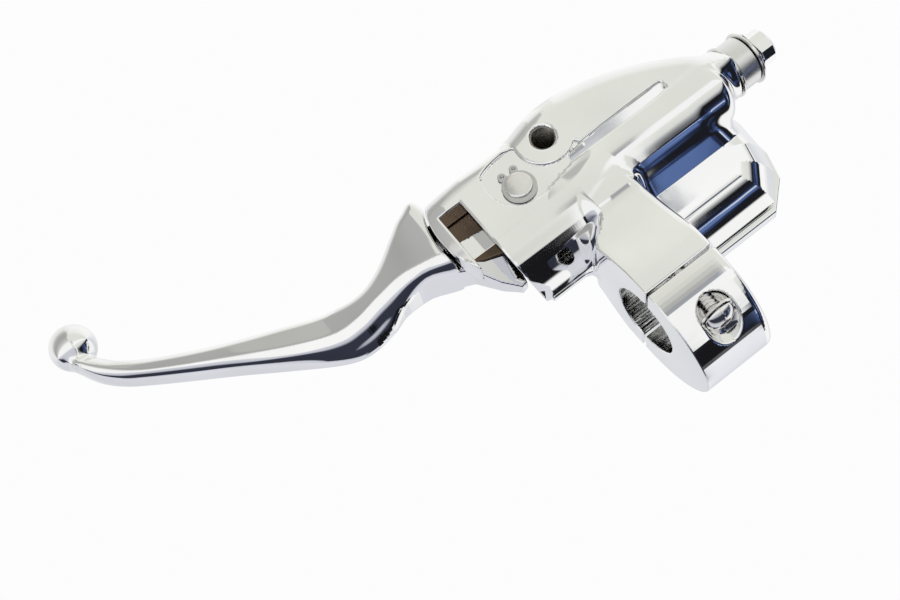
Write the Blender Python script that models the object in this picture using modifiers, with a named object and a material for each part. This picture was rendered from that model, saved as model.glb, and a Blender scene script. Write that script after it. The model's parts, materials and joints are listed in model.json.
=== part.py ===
"""Front brake master cylinder of a motorcycle, with its lever, as separate solids.

Frame: +X runs outboard along the handlebar, +Y forward and +Z up, as mounted. The origin
is the centre of the handlebar bore, halfway along the clamp. All sizes are in metres.
"""
import math

import bmesh
import bpy
from mathutils import Matrix, Vector

# Handlebar clamp
BAR_RADIUS = 0.0127
CLAMP_HALF_WIDTH = 0.0135
CLAMP_HALF_HEIGHT = 0.0215
CLAMP_REAR_Y = -0.0298
SPLIT_HALF_GAP = 0.0004
CLAMP_SCREW_Z = 0.0170
CLAMP_SCREW_RADIUS = 0.0031
CLAMP_RECESS_RADIUS = 0.0068
CLAMP_RECESS_FLOOR_Y = -0.0095
CLAMP_HEAD_Y = -0.0172

# Hydraulic bore, along X, closed at its inboard end
BORE_Y = 0.0450
BORE_RADIUS = 0.0080
BORE_END_X = -0.0460
TUBE_RADIUS = 0.0165
INNER_TUBE_RADIUS = 0.0130
INNER_TUBE_Y = 0.0490
INNER_TUBE_Z = -0.0031
TUBE_INBOARD_X = -0.0600
MOUTH_X = 0.0330
MOUTH_SLOPE = 0.2126

# Lever pivot and the pocket that the lever swings in
PIVOT_X = 0.0180
PIVOT_Y = 0.0573
PIN_RADIUS = 0.00476
EAR_ARC_RADIUS = 0.0315
EAR_BOTTOM_Z = -0.0147
EAR_PAD_Z = -0.0162
EAR_TOP_Z = 0.0120
POCKET_HALF_HEIGHT = 0.0070
POCKET_FRONT_Y = 0.0700
NOTCH_FRONT_Y = 0.0644
NOTCH_OUTBOARD_X = 0.0450
SPOT_FACE_RADIUS = 0.0090
LEVER_HALF_THICKNESS = 0.0063
REACTION_PIN_RADIUS = 0.0050

# Mirror boss
MIRROR_X = 0.0010
MIRROR_Y = 0.0663
MIRROR_RADIUS = 0.00435
BOSS_RADIUS = 0.0112
BOSS_FACE_Z = -0.0156

# Reservoir and its cover
TANK_OUTBOARD_X = -0.0130
COVER_OUTBOARD_X = -0.0141
TANK_INBOARD_X = -0.0630
TANK_REAR_Y = 0.0090
TANK_FRONT_Y = 0.0580
TANK_FLOOR_Z = 0.0032
TANK_TAPER = 0.50
RIM_Z = 0.0170
WALL = 0.0035
FACE_GAP = 0.0003
GASKET_THICKNESS = 0.0010
COVER_TOP_Z = 0.0250
COVER_OVERHANG = 0.0015
COVER_SCREW_Y = 0.0335
COVER_SCREW_XS = {"outboard": -0.0192, "inboard": -0.0560}
SIGHT_X = -0.0385
SIGHT_Y = 0.0210

# Brake line port
PORT_Y = 0.0510
PORT_Z = -0.0020
PORT_FACE_X = -0.0648
PORT_RADIUS = 0.00535
BANJO_BOLT_RADIUS = 0.0050
SPACER_RADIUS = 0.0089
SPACER_LENGTH = 0.0072
WASHER_THICKNESS = 0.0010
WASHER_RADIUS = 0.0098

# Piston train, all along the bore's axis
PISTON_RADIUS = 0.0077
PISTON_LENGTH = 0.0204
PISTON_END_X = -0.0016
ROD_RADIUS = 0.0030
ROD_END_X = 0.0146
CUP_THICKNESS = 0.0033
SPRING_RADIUS = 0.0052
SPRING_WIRE_RADIUS = 0.0006
SPRING_TURNS = 7

# Lever blade
BALL_X = 0.1650
BALL_Y = 0.1145
BALL_RADIUS = 0.0080
BLADE_HALF_THICKNESS = 0.0046
KNUCKLE_HALF_THICKNESS = 0.0115

ROUND_SEGMENTS = 32
SMALL_SEGMENTS = 20

FINISHES = {
    "chrome": ((0.80, 0.80, 0.79, 1.0), 0.06, 1.0),
    "satin_steel": ((0.55, 0.54, 0.52, 1.0), 0.35, 1.0),
    "bright_steel": ((0.66, 0.65, 0.62, 1.0), 0.20, 1.0),
    "anodised": ((0.42, 0.44, 0.46, 1.0), 0.30, 1.0),
    "bronze": ((0.45, 0.31, 0.16, 1.0), 0.35, 1.0),
    "rubber": ((0.02, 0.02, 0.02, 1.0), 0.70, 0.0),
    "clear": ((0.75, 0.78, 0.74, 1.0), 0.08, 0.0),
}


def clear_scene():
    for item in list(bpy.data.objects):
        bpy.data.objects.remove(item, do_unlink=True)


def new_collection(name):
    collection = bpy.data.collections.new(name)
    bpy.context.scene.collection.children.link(collection)
    return collection


def make_materials():
    made = {}
    for name, (colour, roughness, metallic) in FINISHES.items():
        material = bpy.data.materials.new(name)
        material.use_nodes = True
        shader = material.node_tree.nodes["Principled BSDF"]
        shader.inputs["Base Color"].default_value = colour
        shader.inputs["Roughness"].default_value = roughness
        shader.inputs["Metallic"].default_value = metallic
        made[name] = material
    return made


clear_scene()
PARTS = new_collection("brake_master_cylinder")
CUTTERS = new_collection("cutters")
MATERIALS = make_materials()


def place(name, mesh, location=(0, 0, 0), axis="Z"):
    """Links a mesh as an object whose local Z lies along the given world axis."""
    mesh.shade_smooth()
    mesh.set_sharp_from_angle(angle=math.radians(32))
    item = bpy.data.objects.new(name, mesh)
    item.location = location
    if axis == "X":
        item.rotation_euler = (0, math.pi / 2, 0)
    elif axis == "Y":
        item.rotation_euler = (-math.pi / 2, 0, 0)
    PARTS.objects.link(item)
    return item


def mesh_from(bm, name):
    mesh = bpy.data.meshes.new(name)
    bm.to_mesh(mesh)
    bm.free()
    return mesh


def box(name, low, high):
    """A box between two corners, with its origin at its centre."""
    size = Vector(high) - Vector(low)
    bm = bmesh.new()
    bmesh.ops.create_cube(bm, size=1.0)
    bmesh.ops.scale(bm, vec=size, verts=bm.verts)
    return place(name, mesh_from(bm, name), (Vector(low) + Vector(high)) / 2)


def rod(name, start, length, radius, axis, segments=ROUND_SEGMENTS):
    """A cylinder from a start point along +X, +Y or +Z."""
    direction = {"X": Vector((1, 0, 0)), "Y": Vector((0, 1, 0)), "Z": Vector((0, 0, 1))}[axis]
    bm = bmesh.new()
    bmesh.ops.create_cone(bm, cap_ends=True, segments=segments, radius1=radius, radius2=radius,
                          depth=length)
    return place(name, mesh_from(bm, name), Vector(start) + direction * length / 2, axis)


def plate(name, outline, low, high, axis="Z", smooth=False):
    """A flat outline given thickness: in XY from low to high Z, or in YZ from low to high X."""
    curve = bpy.data.curves.new(name, "CURVE")
    curve.dimensions = "2D"
    curve.fill_mode = "BOTH"
    curve.extrude = (high - low) / 2
    curve.resolution_u = 5
    if smooth:
        spline = curve.splines.new("BEZIER")
        spline.bezier_points.add(len(outline) - 1)
        for point, (across, along) in zip(spline.bezier_points, outline):
            point.co = (across, along, 0)
            point.handle_left_type = "AUTO"
            point.handle_right_type = "AUTO"
    else:
        spline = curve.splines.new("POLY")
        spline.points.add(len(outline) - 1)
        for point, (across, along) in zip(spline.points, outline):
            point.co = (across, along, 0, 1)
    spline.use_cyclic_u = True
    flat = bpy.data.objects.new(name + "_outline", curve)
    if axis == "X":
        flat.matrix_world = Matrix(((0, 0, 1, (low + high) / 2), (1, 0, 0, 0), (0, 1, 0, 0),
                                    (0, 0, 0, 1)))
    else:
        flat.location = (0, 0, (low + high) / 2)
    bpy.context.scene.collection.objects.link(flat)
    solid = mesh_from_curve(flat, name)
    return solid


def mesh_from_curve(curve_object, name):
    """Swaps a curve object for a mesh object with welded caps in the same place."""
    bpy.context.view_layer.update()
    graph = bpy.context.evaluated_depsgraph_get()
    mesh = bpy.data.meshes.new_from_object(curve_object.evaluated_get(graph))
    bm = bmesh.new()
    bm.from_mesh(mesh)
    bmesh.ops.remove_doubles(bm, verts=bm.verts, dist=0.00001)
    bmesh.ops.recalc_face_normals(bm, faces=bm.faces)
    bm.to_mesh(mesh)
    bm.free()
    solid = place(name, mesh)
    solid.matrix_world = curve_object.matrix_world.copy()
    bpy.data.objects.remove(curve_object, do_unlink=True)
    return solid


def turned(name, profile, location, axis, closed=False, segments=ROUND_SEGMENTS):
    """A turned solid: (radius, height) points run down its outer side about local Z."""
    mesh = bpy.data.meshes.new(name)
    edges = [(i, i + 1) for i in range(len(profile) - 1)]
    if closed:
        edges.append((len(profile) - 1, 0))
    mesh.from_pydata([(radius, 0, height) for radius, height in profile], edges, [])
    item = place(name, mesh, location, axis)
    spin = item.modifiers.new("Turn", "SCREW")
    spin.steps = segments
    spin.render_steps = segments
    spin.use_merge_vertices = True
    spin.merge_threshold = 0.00001
    spin.use_smooth_shade = True
    return item


def ring(name, inner, outer, low, high, location, axis, segments=ROUND_SEGMENTS):
    """A flat washer between two heights along its axis."""
    profile = [(inner, high), (outer, high), (outer, low), (inner, low)]
    return turned(name, profile, location, axis, closed=True, segments=segments)


def boolean(target, operand, operation):
    step = target.modifiers.new(operand.name, "BOOLEAN")
    step.operation = operation
    step.solver = "EXACT"
    step.object = operand
    operand.hide_render = True
    operand.display_type = "WIRE"
    PARTS.objects.unlink(operand)
    CUTTERS.objects.link(operand)


def join(target, *operands):
    for operand in operands:
        boolean(target, operand, "UNION")


def cut(target, *operands):
    for operand in operands:
        boolean(target, operand, "DIFFERENCE")


def round_edges(item, width, segments=2, angle=40):
    bevel = item.modifiers.new("Rounded edges", "BEVEL")
    bevel.width = width
    bevel.segments = segments
    bevel.limit_method = "ANGLE"
    bevel.angle_limit = math.radians(angle)
    return bevel


def finish(item, material):
    item.data.materials.clear()
    item.data.materials.append(MATERIALS[material])
    return item


def arc(centre_x, centre_y, radius, start_deg, end_deg, steps):
    """Points on an arc in plan, from the start angle to the end angle."""
    points = []
    for i in range(steps + 1):
        angle = math.radians(start_deg + (end_deg - start_deg) * i / steps)
        points.append((centre_x + radius * math.cos(angle), centre_y + radius * math.sin(angle)))
    return points


# ---------------------------------------------------------------- housing

def front_lobe():
    """The ears, the mirror boss and the web to the line port, as one outline in plan."""
    ear_end = arc(PIVOT_X, PIVOT_Y, EAR_ARC_RADIUS, -7, 31, 5)
    front = [(0.0280, 0.0755), (0.0120, 0.0770), (0.0050, 0.0800), (-0.0060, 0.0812),
             (-0.0180, 0.0805), (-0.0330, 0.0770), (-0.0490, 0.0695), (-0.0600, 0.0600)]
    outline = [(-0.0600, 0.0440)] + [(0.0300, 0.0440)] + ear_end + front
    return plate("front_lobe", outline, EAR_BOTTOM_Z, EAR_TOP_Z)


def ear_pad():
    """The lower ear's outer part, which stands level with the tube's crest."""
    ear_end = arc(PIVOT_X, PIVOT_Y, EAR_ARC_RADIUS - 0.0005, -6, 28, 5)
    outline = [(0.0275, 0.0480), (0.0450, 0.0480)] + ear_end + [(0.0330, 0.0725), (0.0275, 0.0700)]
    return plate("ear_pad", outline, EAR_PAD_Z, EAR_BOTTOM_Z + 0.0010)


def shoulder():
    """The outboard block in YZ: a wall slanted from the tube to a lip, then up to the deck."""
    deck = RIM_Z - 0.0001
    outline = [(0.0450, -0.0140), (0.0360, -0.0136), (0.0326, -0.0106), (0.0263, 0.0034),
               (0.0258, 0.0046), (0.0263, 0.0058), (0.0285, 0.0095), (0.0335, 0.0155),
               (0.0370, deck), (0.0560, deck), (0.0560, 0)]
    return plate("shoulder", outline, -0.0160, 0.0400, axis="X")


def saddle():
    """The front half of the handlebar clamp and its arm, outlined in YZ."""
    top, split = CLAMP_HALF_HEIGHT, SPLIT_HALF_GAP
    outline = [(split, -top), (0.0105, -0.0213), (0.0160, -0.0197), (0.0220, -0.0168),
               (0.0310, -0.0142), (0.0450, -0.0100), (0.0450, 0.0080), (0.0310, 0.0106),
               (0.0220, 0.0137), (0.0140, 0.0187), (0.0080, 0.0213), (split, top)]
    return plate("saddle", outline, -CLAMP_HALF_WIDTH, CLAMP_HALF_WIDTH, axis="X")


def inner_tube():
    """The narrower inboard end of the tube, in line with the brake line's port."""
    tube = rod("inner_tube", (TUBE_INBOARD_X, INNER_TUBE_Y, INNER_TUBE_Z), 0.0640,
               INNER_TUBE_RADIUS, "X")
    round_edges(tube, 0.0045, angle=60)
    return tube


def rim_outline(edge):
    """The reservoir's rim in plan, with its inboard corners cut back, widened by an edge."""
    rear, front = TANK_REAR_Y - edge, TANK_FRONT_Y + edge
    inboard = TANK_INBOARD_X - edge
    outboard = COVER_OUTBOARD_X + min(edge, 0)
    return [(outboard, rear), (-0.0505, rear), (inboard + 0.0030, 0.0175 - edge),
            (inboard, 0.0270), (inboard, 0.0480), (inboard + 0.0070, front),
            (outboard, front)]


def tapered_tank():
    """The reservoir's outside in YZ: a wall down from the tube, the floor and the rear wall."""
    rim = RIM_Z - 0.0001
    outline = [(0.0520, -0.0130), (0.0440, -0.0135), (0.0396, -0.0119), (0.0309, -0.0006),
               (0.0165, TANK_FLOOR_Z - 0.0003), (0.0148, TANK_FLOOR_Z + 0.0006),
               (0.0136, 0.0058), (TANK_REAR_Y, rim), (TANK_FRONT_Y, rim),
               (TANK_FRONT_Y, -0.0050)]
    tank = plate("tank", outline, TANK_INBOARD_X, TANK_OUTBOARD_X, axis="X")
    for vertex in tank.data.vertices:
        if vertex.co.z < 0:
            vertex.co.z += TANK_TAPER * (RIM_Z - vertex.co.y)
    corner = [(-0.0700, 0.0050), (-0.0505, 0.0050), (-0.0505, TANK_REAR_Y), (-0.0600, 0.0175),
              (-0.0630, 0.0270), (-0.0700, 0.0270)]
    cut(tank, plate("tank_corner", corner, -0.0300, 0.0300))
    return tank


def behind_mouth(name, low, high):
    """A box whose inboard face lies on the sloping mouth plane, given its other limits."""
    cutter = box(name, (MOUTH_X, low[0], low[1]), high)
    middle_z = (low[1] + high[2]) / 2
    for vertex in cutter.data.vertices:
        if vertex.co.x < 0:
            vertex.co.x -= MOUTH_SLOPE * (vertex.co.z + middle_z)
    return cutter


def tank_hollow(body):
    cut(body,
        plate("tank_shallow", rim_outline(-WALL - 0.0015), 0.0110, RIM_Z + 0.0010),
        box("tank_deep", (-0.0440, 0.0200, TANK_FLOOR_Z + WALL),
            (TANK_OUTBOARD_X - WALL, 0.0290, 0.0120)))


def cover_screw_bosses(body):
    for side, x in COVER_SCREW_XS.items():
        join(body, rod(f"screw_boss_{side}", (x, COVER_SCREW_Y, 0.0095), RIM_Z - 0.0095, 0.0038,
                       "Z", SMALL_SEGMENTS))
        cut(body, rod(f"screw_hole_{side}", (x, COVER_SCREW_Y, 0.0105), 0.0100, 0.0019, "Z", 16))


def lever_pocket(body):
    """Room for the lever's eye, arm and heel, the open mouth, and the lower ear's notch."""
    half = POCKET_HALF_HEIGHT
    cut(body,
        box("pocket", (0.0080, 0.0340, -half), (0.0600, POCKET_FRONT_Y, half)),
        box("inner_pocket", (0.0050, 0.0350, -half + 0.0001), (0.0085, 0.0560, half - 0.0001)),
        box("heel_slot", (0.0240, 0.0289, 0.0004), (0.0600, 0.0345, half - 0.0002)),
        behind_mouth("lower_ear_notch", (0.0150, -0.0200),
                     (NOTCH_OUTBOARD_X, NOTCH_FRONT_Y, -half + 0.0005)),
        behind_mouth("mouth_trim", (0.0152, -half + 0.0003),
                     (0.0600, NOTCH_FRONT_Y - 0.0001, 0.0400)))


def hydraulic_bore(body):
    cut(body,
        rod("bore", (BORE_END_X, BORE_Y, 0), 0.0600, BORE_RADIUS, "X"),
        rod("snap_ring_groove", (0.0022, BORE_Y, 0), 0.0018, 0.0092, "X"),
        rod("port", (PORT_FACE_X - 0.0010, PORT_Y, PORT_Z), 0.0168, PORT_RADIUS, "X"),
        rod("outlet_drilling", (-0.0505, 0.0492, -0.0010), 0.0060, 0.0013, "X", 12),
        rod("supply_port", (-0.0215, BORE_Y, 0.0060), 0.0070, 0.0015, "Z", 12),
        rod("compensating_port", (-0.0290, BORE_Y, 0.0060), 0.0070, 0.0006, "Z", 8))


def clamp_screw_holes(body):
    for side, sign in (("lower", -1), ("upper", 1)):
        cut(body, rod(f"saddle_thread_{side}", (0, -0.0010, sign * CLAMP_SCREW_Z), 0.0125,
                      CLAMP_SCREW_RADIUS + 0.0003, "Y", SMALL_SEGMENTS))


def make_housing():
    body = rod("master_cylinder_body", (-0.0060, BORE_Y, 0), 0.0505, TUBE_RADIUS, "X")
    join(body, inner_tube(), front_lobe())
    cut(body, rod("spot_face", (PIVOT_X, PIVOT_Y, -0.0200), 0.0201 + EAR_BOTTOM_Z,
                  SPOT_FACE_RADIUS, "Z"))
    join(body,
         rod("mirror_boss", (MIRROR_X, MIRROR_Y, BOSS_FACE_Z), 0.0100, BOSS_RADIUS, "Z"),
         ear_pad(),
         shoulder(),
         saddle(),
         tapered_tank(),
         rod("port_boss", (PORT_FACE_X, PORT_Y, PORT_Z), 0.0200, 0.0096, "X"))
    tank_hollow(body)
    cover_screw_bosses(body)
    hydraulic_bore(body)
    lever_pocket(body)
    clamp_screw_holes(body)
    cut(body,
        rod("bar_bore", (-0.0200, 0, 0), 0.0400, BAR_RADIUS, "X", 48),
        rod("mirror_hole", (MIRROR_X, MIRROR_Y, -0.0200), 0.0500, MIRROR_RADIUS, "Z"),
        rod("pin_hole", (PIVOT_X, PIVOT_Y, -0.0200), 0.0500, PIN_RADIUS + 0.0003, "Z"),
        rod("pin_head_seat", (PIVOT_X, PIVOT_Y, EAR_TOP_Z + 0.0001), 0.0100, 0.0076, "Z"))
    finish(body, "chrome")


# ---------------------------------------------------------------- reservoir cover

def make_cover():
    low = RIM_Z + 2 * FACE_GAP + GASKET_THICKNESS
    cover = plate("reservoir_cover", rim_outline(COVER_OVERHANG), low, COVER_TOP_Z)
    round_edges(cover, 0.0015)
    cut(cover,
        rod("sight_opening", (SIGHT_X, SIGHT_Y, low - 0.0010), 0.0100, 0.0050, "Z"),
        rod("sight_counterbore", (SIGHT_X, SIGHT_Y, 0.0214), 0.0100, 0.0069, "Z"))
    for side, x in COVER_SCREW_XS.items():
        cut(cover,
            rod(f"cover_hole_{side}", (x, COVER_SCREW_Y, low - 0.0010), 0.0100, 0.0023, "Z", 16),
            rod(f"cover_sink_{side}", (x, COVER_SCREW_Y, 0.0225), 0.0060, 0.0042, "Z", 24))
        make_cover_screw(side, x)
    finish(cover, "chrome")


def make_cover_screw(side, x):
    """An oval-head screw with a cross slot, sunk in the cover."""
    profile = [(0, 0.0023), (0.0020, 0.0020), (0.0034, 0.0012), (0.0039, 0.0003), (0.0039, 0),
               (0.0016, 0), (0.0016, -0.0100), (0, -0.0110)]
    screw = turned(f"cover_screw_{side}", profile, (x, COVER_SCREW_Y, 0.0228), "Z",
                   segments=SMALL_SEGMENTS)
    for index, (half_x, half_y) in enumerate(((0.0021, 0.00045), (0.00045, 0.0021))):
        cut(screw, box(f"cross_{side}_{index}", (x - half_x, COVER_SCREW_Y - half_y, 0.0240),
                       (x + half_x, COVER_SCREW_Y + half_y, 0.0270)))
    finish(screw, "bright_steel")


def make_gasket():
    """The rubber diaphragm: a flat rim with a folded-down bellows, open at the top."""
    low = RIM_Z + FACE_GAP
    high = low + GASKET_THICKNESS
    gasket = plate("reservoir_gasket", rim_outline(-0.0006), low, high)
    join(gasket, box("bellows", (-0.0500, 0.0300, 0.0135), (-0.0260, 0.0515, high - 0.0002)))
    cut(gasket,
        box("bellows_hollow", (-0.0488, 0.0312, 0.0146), (-0.0272, 0.0503, 0.0300)),
        rod("gasket_sight_hole", (SIGHT_X, SIGHT_Y, 0.0100), 0.0200, 0.0052, "Z", 24))
    for side, x in COVER_SCREW_XS.items():
        cut(gasket, rod(f"gasket_hole_{side}", (x, COVER_SCREW_Y, 0.0100), 0.0200, 0.0022, "Z", 16))
    finish(gasket, "rubber")


def make_sight_glass():
    glass = turned("sight_glass",
                   [(0, 0.0024), (0.0058, 0.0022), (0.0066, 0.0016), (0.0066, 0), (0.0046, 0),
                    (0.0046, -0.0060), (0, -0.0098)],
                   (SIGHT_X, SIGHT_Y, 0.0224), "Z", segments=24)
    finish(glass, "clear")
    seal = ring("sight_glass_seal", 0.0049, 0.0064, -0.00035, 0.00035,
                (SIGHT_X, SIGHT_Y, 0.0219), "Z", 24)
    finish(seal, "rubber")


# ---------------------------------------------------------------- clamp cap

def make_clamp_cap():
    """The rear half of the clamp, with a counterbored recess for each screw."""
    top, split = CLAMP_HALF_HEIGHT, -SPLIT_HALF_GAP
    radius = 0.0165
    flat = CLAMP_REAR_Y + radius
    corner = top - radius
    outline = [(split, top)] + arc(flat, corner, radius, 90, 180, 8)
    outline += arc(flat, -corner, radius, 180, 270, 8) + [(split, -top)]
    cap = plate("clamp_cap", outline, -CLAMP_HALF_WIDTH, CLAMP_HALF_WIDTH, axis="X")
    cut(cap, rod("cap_bore", (-0.0200, 0, 0), 0.0400, BAR_RADIUS, "X", 48))
    for side, sign in (("lower", -1), ("upper", 1)):
        z = sign * CLAMP_SCREW_Z
        cut(cap,
            rod(f"cap_recess_{side}", (0, -0.0400, z), 0.0400 + CLAMP_RECESS_FLOOR_Y,
                CLAMP_RECESS_RADIUS, "Y"),
            rod(f"cap_hole_{side}", (0, -0.0200, z), 0.0300, CLAMP_SCREW_RADIUS + 0.0003, "Y",
                SMALL_SEGMENTS))
        make_clamp_screw(side, z)
    finish(cap, "chrome")


def make_clamp_screw(side, z):
    """A button-head socket screw with its washer, standing a few turns out of its recess."""
    shank = CLAMP_SCREW_RADIUS
    tip = 0.0105 - CLAMP_HEAD_Y
    profile = [(0, tip), (shank - 0.0006, tip), (shank, tip - 0.0008), (shank, 0), (0.0054, 0),
               (0.0054, -0.0012), (0.0046, -0.0026), (0.0030, -0.0036), (0, -0.0038)]
    screw = turned(f"clamp_screw_{side}", profile, (0, CLAMP_HEAD_Y, z), "Y")
    cut(screw, rod(f"socket_{side}", (0, CLAMP_HEAD_Y - 0.0050, z), 0.0034, 0.0020, "Y", 6))
    finish(screw, "bright_steel")
    washer = ring(f"clamp_washer_{side}", shank + 0.0003, 0.0060, FACE_GAP, 0.0013,
                  (0, CLAMP_HEAD_Y, z), "Y", 24)
    finish(washer, "bright_steel")


# ---------------------------------------------------------------- brake line port

def make_banjo_parts():
    """The bolt, two sealing washers and the spacer that holds the line fitting's place."""
    step = WASHER_THICKNESS + FACE_GAP
    inner_x = PORT_FACE_X - step
    spacer_x = inner_x - FACE_GAP - SPACER_LENGTH
    outer_x = spacer_x - step
    head_x = outer_x - FACE_GAP
    for name, x in (("banjo_washer_inner", inner_x), ("banjo_washer_outer", outer_x)):
        washer = ring(name, 0.0054, WASHER_RADIUS, 0, WASHER_THICKNESS, (x, PORT_Y, PORT_Z), "X")
        finish(washer, "bright_steel")
    spacer = ring("banjo_spacer", 0.0058, SPACER_RADIUS, 0, SPACER_LENGTH,
                  (spacer_x, PORT_Y, PORT_Z), "X")
    finish(spacer, "satin_steel")
    bolt = rod("banjo_bolt", (head_x - 0.0080, PORT_Y, PORT_Z), 0.0080, 0.0066, "X", 12)
    round_edges(bolt, 0.0006)
    join(bolt, rod("banjo_shank", (head_x - 0.0020, PORT_Y, PORT_Z), 0.0260, BANJO_BOLT_RADIUS,
                   "X", 24))
    cut(bolt,
        rod("banjo_drilling", (spacer_x + 0.0020, PORT_Y, PORT_Z), 0.0400, 0.0014, "X", 12),
        rod("banjo_cross_drilling", (spacer_x + 0.0036, PORT_Y, PORT_Z - 0.0100), 0.0200, 0.0013,
            "Z", 12))
    finish(bolt, "chrome")


# ---------------------------------------------------------------- pivot pin

def make_pivot_pin():
    low = EAR_BOTTOM_Z - 0.0023
    profile = [(0, 0.0317), (0.0064, 0.0317), (0.0070, 0.0311), (0.0070, 0.0294),
               (PIN_RADIUS, 0.0294), (PIN_RADIUS, 0.0023), (0.0041, 0.0021), (0.0041, 0.0008),
               (PIN_RADIUS, 0.0006), (PIN_RADIUS - 0.0004, 0), (0, 0)]
    pin = turned("pivot_pin", profile, (PIVOT_X, PIVOT_Y, low), "Z")
    finish(pin, "bright_steel")


def make_retaining_ring():
    """An open ring in the pin's groove, with a drilled lug on each side of its gap."""
    low, high = EAR_BOTTOM_Z - 0.0011, EAR_BOTTOM_Z - 0.0003
    clip = rod("pivot_retaining_ring", (PIVOT_X, PIVOT_Y, low), high - low, 0.0058, "Z")
    for side, angle in (("left", 68), ("right", 112)):
        x, y = arc(PIVOT_X, PIVOT_Y, 0.0064, angle, angle, 1)[0]
        join(clip, rod(f"ring_lug_{side}", (x, y, low + 0.00001), high - low - 0.00002, 0.0015,
                       "Z", 12))
        cut(clip, rod(f"ring_lug_hole_{side}", (x, y, low - 0.0010), 0.0040, 0.0006, "Z", 10))
    cut(clip,
        rod("ring_inside", (PIVOT_X, PIVOT_Y, low - 0.0010), 0.0040, 0.0044, "Z"),
        box("ring_gap", (PIVOT_X - 0.0006, PIVOT_Y, low - 0.0010),
            (PIVOT_X + 0.0006, PIVOT_Y + 0.0100, high + 0.0010)))
    finish(clip, "satin_steel")


# ---------------------------------------------------------------- piston train

def make_snap_ring():
    """The inner ring that keeps the piston in its bore."""
    ring_item = rod("piston_snap_ring", (0.0025, BORE_Y, 0), 0.0012, 0.0089, "X")
    cut(ring_item,
        rod("snap_inside", (0, BORE_Y, 0), 0.0060, 0.0056, "X"),
        box("snap_gap", (0, BORE_Y - 0.0012, -0.0120), (0.0060, BORE_Y + 0.0012, 0)))
    finish(ring_item, "satin_steel")


def make_wiper():
    wiper = turned("dust_wiper",
                   [(0.0034, 0.0032), (0.0074, 0.0034), (0.0077, 0.0028), (0.0077, 0),
                    (0.0040, 0), (0.0034, 0.0012)],
                   (-0.0012, BORE_Y, 0), "X", closed=True)
    finish(wiper, "rubber")


def make_piston():
    """The piston with its rod end, its seals and the spring seat on its nose."""
    head_x = PISTON_END_X - PISTON_LENGTH
    rod_tip = ROD_END_X - head_x
    length, big = PISTON_LENGTH, PISTON_RADIUS
    profile = [(0, rod_tip), (0.0018, rod_tip - 0.0005), (ROD_RADIUS, rod_tip - 0.0024),
               (ROD_RADIUS, length), (big - 0.0005, length), (big, length - 0.0005),
               (big, length - 0.0022), (0.0050, length - 0.0022), (0.0050, length - 0.0062),
               (big, length - 0.0062), (big, length - 0.0078), (0.0060, length - 0.0088),
               (0.0060, 0.0028), (big, 0.0018), (big, 0.0004), (big - 0.0004, 0), (0.0030, 0),
               (0.0030, -0.0042), (0, -0.0042)]
    piston = turned("piston", profile, (head_x, BORE_Y, 0), "X")
    finish(piston, "anodised")
    cup_x = head_x - FACE_GAP - CUP_THICKNESS
    primary = turned("primary_cup",
                     [(0.0033, CUP_THICKNESS), (0.0076, CUP_THICKNESS), (0.0078, 0.0004),
                      (0.0074, 0), (0.0068, 0.0012), (0.0048, 0.0018), (0.0033, 0.0012)],
                     (cup_x, BORE_Y, 0), "X", closed=True)
    finish(primary, "rubber")
    secondary = turned("secondary_cup",
                       [(0.0053, 0.0033), (0.0070, 0.0033), (0.0078, 0.0005), (0.0075, 0.0003),
                        (0.0053, 0.0003)],
                       (head_x + length - 0.0060, BORE_Y, 0), "X", closed=True)
    finish(secondary, "rubber")
    make_return_spring(BORE_END_X + FACE_GAP + SPRING_WIRE_RADIUS,
                       cup_x - FACE_GAP - SPRING_WIRE_RADIUS)


def make_return_spring(start_x, end_x):
    """A coil whose pitch opens between a closed turn at each end."""
    steps_per_turn = 14
    count = SPRING_TURNS * steps_per_turn
    curve = bpy.data.curves.new("return_spring", "CURVE")
    curve.dimensions = "3D"
    curve.bevel_depth = SPRING_WIRE_RADIUS
    curve.bevel_resolution = 2
    curve.use_fill_caps = True
    spline = curve.splines.new("POLY")
    spline.points.add(count)
    closed = 2.6 * SPRING_WIRE_RADIUS
    for i in range(count + 1):
        turn = i / steps_per_turn
        angle = 2 * math.pi * turn
        middle = min(max((turn - 1) / (SPRING_TURNS - 2), 0), 1)
        ends = min(turn, 1) + max(turn - (SPRING_TURNS - 1), 0)
        along = start_x + closed * ends + (end_x - start_x - 2 * closed) * middle
        spline.points[i].co = (along, BORE_Y + SPRING_RADIUS * math.cos(angle),
                               SPRING_RADIUS * math.sin(angle), 1)
    wire = bpy.data.objects.new("return_spring_path", curve)
    bpy.context.scene.collection.objects.link(wire)
    finish(mesh_from_curve(wire, "return_spring"), "bright_steel")


# ---------------------------------------------------------------- lever

def empty_at(name, x, y, parent=None):
    """An empty on a joint's axis, for the pieces that turn about it."""
    holder = bpy.data.objects.new(name, None)
    PARTS.objects.link(holder)
    if parent is not None:
        holder.parent = parent
        holder.location = Vector((x, y, 0)) - parent.location
    else:
        holder.location = (x, y, 0)
    bpy.context.view_layer.update()
    return holder


def hang(item, holder):
    item.parent = holder
    item.matrix_parent_inverse = holder.matrix_world.inverted()


def blade_outline():
    """The blade in plan: front edge out to the neck, then the rear edge back to the heel."""
    front = [(0.0530, 0.0775), (0.0620, 0.0735), (0.0710, 0.0680), (0.0800, 0.0656),
             (0.0930, 0.0680), (0.1190, 0.0780), (0.1455, 0.0920), (0.1610, 0.1035),
             (0.1660, 0.1100)]
    rear = [(0.1690, 0.1080), (0.1640, 0.0980), (0.1500, 0.0865), (0.1263, 0.0707),
            (0.1116, 0.0603), (0.0965, 0.0508), (0.0875, 0.0480), (0.0775, 0.0490),
            (0.0680, 0.0525), (0.0570, 0.0525)]
    return front + rear


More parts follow.
